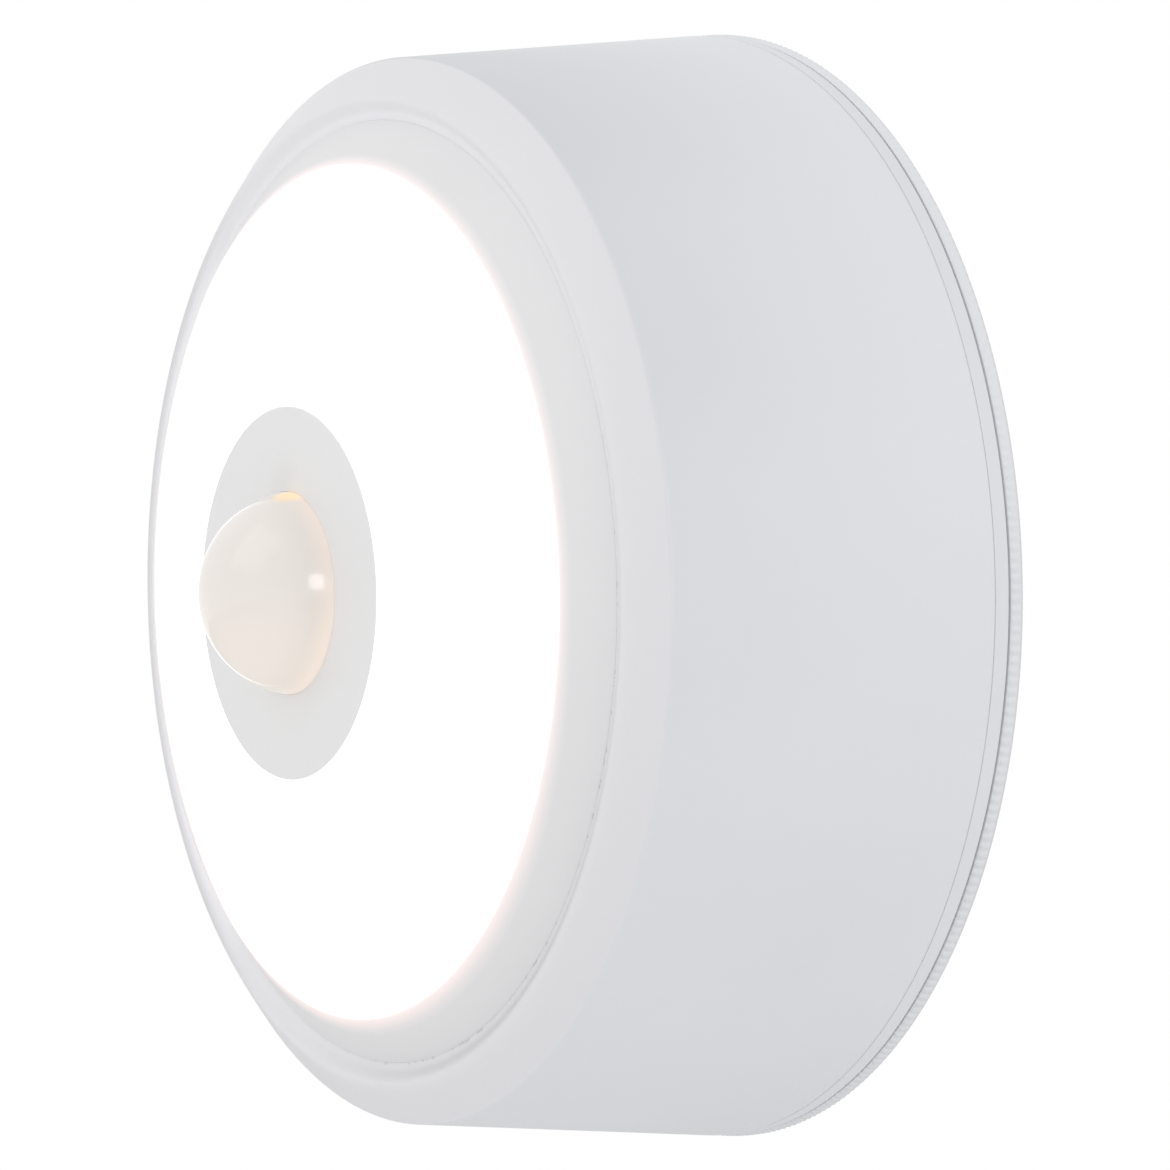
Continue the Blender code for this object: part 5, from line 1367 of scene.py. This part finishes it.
class CEILINGLIGHT_OT_springs(bpy.types.Operator):
    """Conical springs at the negative ends of the two rows of cells"""

    bl_idname = "ceiling_light.springs"
    bl_label = "Contact springs"

    def execute(self, context):
        wire = SPRING_WIRE
        count = SPRING_TURNS * SPRING_STEPS_PER_TURN
        for number in (1, 2):
            node = f"contact_spring_{number}"
            low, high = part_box(node)
            long = high.x - low.x
            wide = (high.z - low.z) / 2 - wire
            spine = []
            for step in range(count + 1):
                done = step / count
                x, y = polar(wide + (SPRING_END_RADIUS - wide) * done, 2 * pi * SPRING_TURNS * done)
                spine.append(Vector((x, y, wire + (long - 2 * wire) * done)))
            spring = tube(f"spring_{number}", spine, wire, SPRING_SIDES)
            shade(spring)
            lay_along_x(spring, node, low.x < 0)
            dress(spring, "light_unit", "contact_steel", node)
        return {"FINISHED"}


def tube(name, spine, radius, sides):
    """A round wire along a line of points."""
    shape = bmesh.new()
    rings = []
    for index, spot in enumerate(spine):
        before = spine[max(index - 1, 0)]
        after = spine[min(index + 1, len(spine) - 1)]
        along = (after - before).normalized()
        across = along.cross(Vector((0, 0, 1))).normalized()
        up = across.cross(along)
        ring = []
        for side in range(sides):
            angle = 2 * pi * side / sides
            ring.append(shape.verts.new(spot + across * radius * cos(angle) + up * radius * sin(angle)))
        rings.append(ring)
    for first, second in zip(rings, rings[1:]):
        bridge(shape, first, second)
    shape.faces.new(rings[0])
    shape.faces.new(rings[-1])
    return new_piece(name, shape)


# Screws of each kind: how many, and whether their heads are at the back
SCREWS = {
    "housing_screw": (4, True),
    "led_screw": (4, False),
    "tower_screw": (2, False),
    "board_screw": (2, False),
}


class CEILINGLIGHT_OT_screws(bpy.types.Operator):
    """Pan-head screws with a cross recess, and a thread drawn as rings"""

    bl_idname = "ceiling_light.screws"
    bl_label = "Screws"

    def execute(self, context):
        for kind, (count, head_at_back) in SCREWS.items():
            for number in range(1, count + 1):
                node = f"{kind}_{number}"
                screw = draw_screw(f"cross_{node}", node)
                low, high = heights(node)
                spot = place_of(node)
                flip = Matrix.Rotation(pi, 4, "X") if head_at_back else Matrix.Identity(4)
                move = Matrix.Translation((spot.x, spot.y, low if head_at_back else high))
                screw.data.transform(TIPPED_FORWARD @ move @ flip @ TIPPED_FORWARD.inverted())
                shade(screw)
                dress(screw, "light_unit", "screw_steel", node)
        return {"FINISHED"}


def draw_screw(name, node):
    """A screw drawn point down from the top of its head at height 0."""
    low, high = heights(node)
    long = high - low
    head, shank, head_height = SCREW_HEAD_RADIUS, SCREW_SHANK_RADIUS, SCREW_HEAD_HEIGHT
    root = shank * SCREW_THREAD_SHARE
    profile = [
        (0, 0),
        (head * 0.45, -0.00004),
        (head * 0.75, -0.0002),
        (head * 0.94, -0.0005),
        (head, -0.0009),
        (head, -head_height),
        (shank, -head_height),
    ]
    height = -head_height - SCREW_NECK
    while height - SCREW_PITCH > -long + SCREW_TIP:
        profile += [(root, height), (shank, height - SCREW_PITCH / 2)]
        height -= SCREW_PITCH
    profile += [(root, height), (0, -long)]
    screw = turned(name, profile, SCREW_STEPS, closed=False)
    for size in (RECESS_CROSS, RECESS_CROSS[::-1]):
        outline = rectangle((0, 0), size, RECESS_CROSS_CORNER)
        carve(screw, prism("recess", [outline], -RECESS_CROSS_DEPTH, OVERRUN))
    return screw


class CEILINGLIGHT_OT_inner_pieces(bpy.types.Operator):
    """Finishes and fine edges for the CAD pieces inside the light that keep their own shape"""

    bl_idname = "ceiling_light.inner_pieces"
    bl_label = "Inner pieces"

    def execute(self, context):
        slots = {part["node"]: part["material_slot"] for part in frame["record"]["subparts"]}
        for name, node in frame["nodes"].items():
            if node.hide_render:
                continue
            if not node.material_slots:
                node.data.materials.append(None)
            for place in node.material_slots:
                place.link = "OBJECT"
                place.material = surface(slots[name])
            weld = node.modifiers.new("joined faces", "WELD")
            weld.merge_threshold = 0.000001
            if name.endswith("_cable") or name.startswith("battery_lead"):
                smoother = node.modifiers.new("round jacket", "SUBSURF")
                smoother.levels = 1
                smoother.render_levels = 1
                continue
            bevel = node.modifiers.new("fine edges", "BEVEL")
            bevel.width = INNER_EDGE
            bevel.segments = 2
            bevel.limit_method = "ANGLE"
            bevel.angle_limit = INNER_SHARP_ANGLE
            normals = node.modifiers.new("even shading", "WEIGHTED_NORMAL")
            normals.keep_sharp = True
        return {"FINISHED"}


# Stage


# Lamps: name, direction round the light and height over it in degrees, size, power and colour, and whether
# they show in matt and in glossy surfaces
LAMPS = (
    ("window", 78, 11, 0.31, 1.2, (1.0, 1.0, 1.0), False, True),
    ("front", 0, 10, 0.6, 1.26, (1.0, 0.99, 0.98), True, False),
    ("front top", -9, 42, 0.8, 0.9, (1.0, 1.0, 1.0), True, True),
    ("behind", 135, 5, 0.6, 1.5, (1.0, 1.0, 1.0), True, False),
    ("low", 45, -14, 0.6, 0.78, (1.0, 0.99, 0.98), True, False),
)


def direction(azimuth, elevation):
    """The way from the light to a place that lies round it and over it by two angles."""
    return Vector((sin(azimuth) * cos(elevation), -cos(azimuth) * cos(elevation), sin(elevation)))


def area_lamp(name, place, aim, size, power, colour, in_matt, in_gloss):
    """A soft square lamp that the camera doesn't see. It lights matt surfaces, shows in gloss, or both."""
    lamp = bpy.data.lights.new(name, "AREA")
    lamp.shape = "SQUARE"
    lamp.size = size
    lamp.energy = power
    lamp.color = colour
    holder = bpy.data.objects.new(name, lamp)
    holder.location = place
    holder.rotation_mode = "QUATERNION"
    holder.rotation_quaternion = (Vector(aim) - Vector(place)).to_track_quat("-Z", "Y")
    holder.visible_camera = False
    holder.visible_diffuse = in_matt
    holder.visible_glossy = in_gloss
    bpy.context.scene.collection.objects.link(holder)


def white_for_camera(tree):
    """A factor of 1 where the camera, or gloss or glass in its place, looks at the world."""
    path = add_node(tree, "ShaderNodeLightPath")
    seen = math_node(tree, "MAXIMUM", path.outputs["Is Camera Ray"], path.outputs["Is Glossy Ray"])
    return math_node(tree, "MAXIMUM", seen, path.outputs["Is Transmission Ray"])


def set_world(stage):
    """Even light from all round, and white where the camera or gloss looks past the light."""
    world = bpy.data.worlds.new("Even light")
    world.use_nodes = True
    tree = world.node_tree
    tree.nodes.clear()
    even = add_node(tree, "ShaderNodeBackground", {"Color": (1, 1, 1, 1), "Strength": stage.ambient})
    white = add_node(tree, "ShaderNodeBackground", {"Color": (1, 1, 1, 1), "Strength": 1.0})
    choice = add_node(tree, "ShaderNodeMixShader")
    tree.links.new(white_for_camera(tree), choice.inputs[0])
    tree.links.new(even.outputs[0], choice.inputs[1])
    tree.links.new(white.outputs[0], choice.inputs[2])
    output = add_node(tree, "ShaderNodeOutputWorld")
    tree.links.new(choice.outputs[0], output.inputs["Surface"])
    bpy.context.scene.world = world


def floor_material(stage):
    """Pale matt floor that the camera sees a little lighter than it is lit."""
    finish = {"relief": 0.00002, "grain": 300.0, "tone_change": 0.004}
    made, tree, shader = moulded("Floor", stage.floor_colour, 0.8, **finish)
    path = add_node(tree, "ShaderNodeLightPath")
    seen = math_node(tree, "MULTIPLY", path.outputs["Is Camera Ray"], 0.2)
    tree.links.new(seen, shader.inputs["Emission Strength"])
    shader.inputs["Emission Color"].default_value = (1.0, 1.0, 1.0, 1.0)
    return made


def set_camera(stage):
    """The photograph's view: nearly level, from the light's right, with the axis turned to the left."""
    azimuth, roll = stage.azimuth, stage.roll
    back = direction(azimuth, stage.elevation)
    level_right = Vector((cos(azimuth), sin(azimuth), 0))
    level_up = back.cross(level_right)
    right = level_right * cos(roll) + level_up * sin(roll)
    up = level_up * cos(roll) - level_right * sin(roll)
    target = CAMERA_TARGET + right * CAMERA_SHIFT[0] + up * CAMERA_SHIFT[1]
    camera = bpy.data.cameras.new("Camera")
    camera.sensor_width = 36.0
    camera.lens = stage.focal_length
    camera.clip_start = 0.01
    camera.clip_end = 20.0
    holder = bpy.data.objects.new("Camera", camera)
    rotation = Matrix((right, up, back)).transposed()
    holder.matrix_world = Matrix.Translation(target + back * stage.distance) @ rotation.to_4x4()
    bpy.context.scene.collection.objects.link(holder)
    bpy.context.scene.camera = holder


class CEILINGLIGHT_OT_stage(bpy.types.Operator):
    """Pale floor, soft studio light and the camera"""

    bl_idname = "ceiling_light.stage"
    bl_label = "Stage"

    def execute(self, context):
        stage = context.scene.light_stage
        shape = bmesh.new()
        bmesh.ops.create_circle(shape, cap_ends=True, radius=stage.floor_radius, segments=96)
        mesh = bpy.data.meshes.new("floor")
        shape.to_mesh(mesh)
        shape.free()
        floor = bpy.data.objects.new("floor", mesh)
        floor.location.z = -stage.floor_drop
        floor.data.materials.append(floor_material(stage))
        context.scene.collection.objects.link(floor)
        set_world(stage)
        for name, round_it, over_it, size, power, colour, in_matt, in_gloss in LAMPS:
            place = LIGHT_MIDDLE + direction(radians(round_it), radians(over_it)) * stage.lamp_distance
            area_lamp(name, place, LIGHT_MIDDLE, size, power, colour, in_matt, in_gloss)
        set_camera(stage)
        context.scene.view_settings.view_transform = "Standard"
        return {"FINISHED"}


class CEILINGLIGHT_PT_panel(bpy.types.Panel):
    """Lists the steps that build the light"""

    bl_idname = "CEILINGLIGHT_PT_panel"
    bl_label = "Ceiling light"
    bl_space_type = "VIEW_3D"
    bl_region_type = "UI"
    bl_category = "Ceiling light"

    def draw(self, context):
        for step in STEPS:
            self.layout.operator(step.bl_idname)


STEPS = (
    CEILINGLIGHT_OT_mounting_plate,
    CEILINGLIGHT_OT_battery_tray,
    CEILINGLIGHT_OT_housing,
    CEILINGLIGHT_OT_diffuser,
    CEILINGLIGHT_OT_sensor_front,
    CEILINGLIGHT_OT_cells,
    CEILINGLIGHT_OT_springs,
    CEILINGLIGHT_OT_screws,
    CEILINGLIGHT_OT_inner_pieces,
    CEILINGLIGHT_OT_stage,
)
GROUPS = {"light_sizes": LightSizes, "light_colours": LightColours, "light_stage": StageSettings}


def register():
    for name, group in GROUPS.items():
        bpy.utils.register_class(group)
        setattr(bpy.types.Scene, name, bpy.props.PointerProperty(type=group))
    for step in STEPS:
        bpy.utils.register_class(step)
    bpy.utils.register_class(CEILINGLIGHT_PT_panel)


def unregister():
    bpy.utils.unregister_class(CEILINGLIGHT_PT_panel)
    for step in reversed(STEPS):
        bpy.utils.unregister_class(step)
    for name, group in GROUPS.items():
        delattr(bpy.types.Scene, name)
        bpy.utils.unregister_class(group)


def main():
    """Builds every piece and the stage."""
    register()
    for step in STEPS:
        group, name = step.bl_idname.split(".")
        getattr(getattr(bpy.ops, group), name)()


if __name__ == "__main__":
    main()
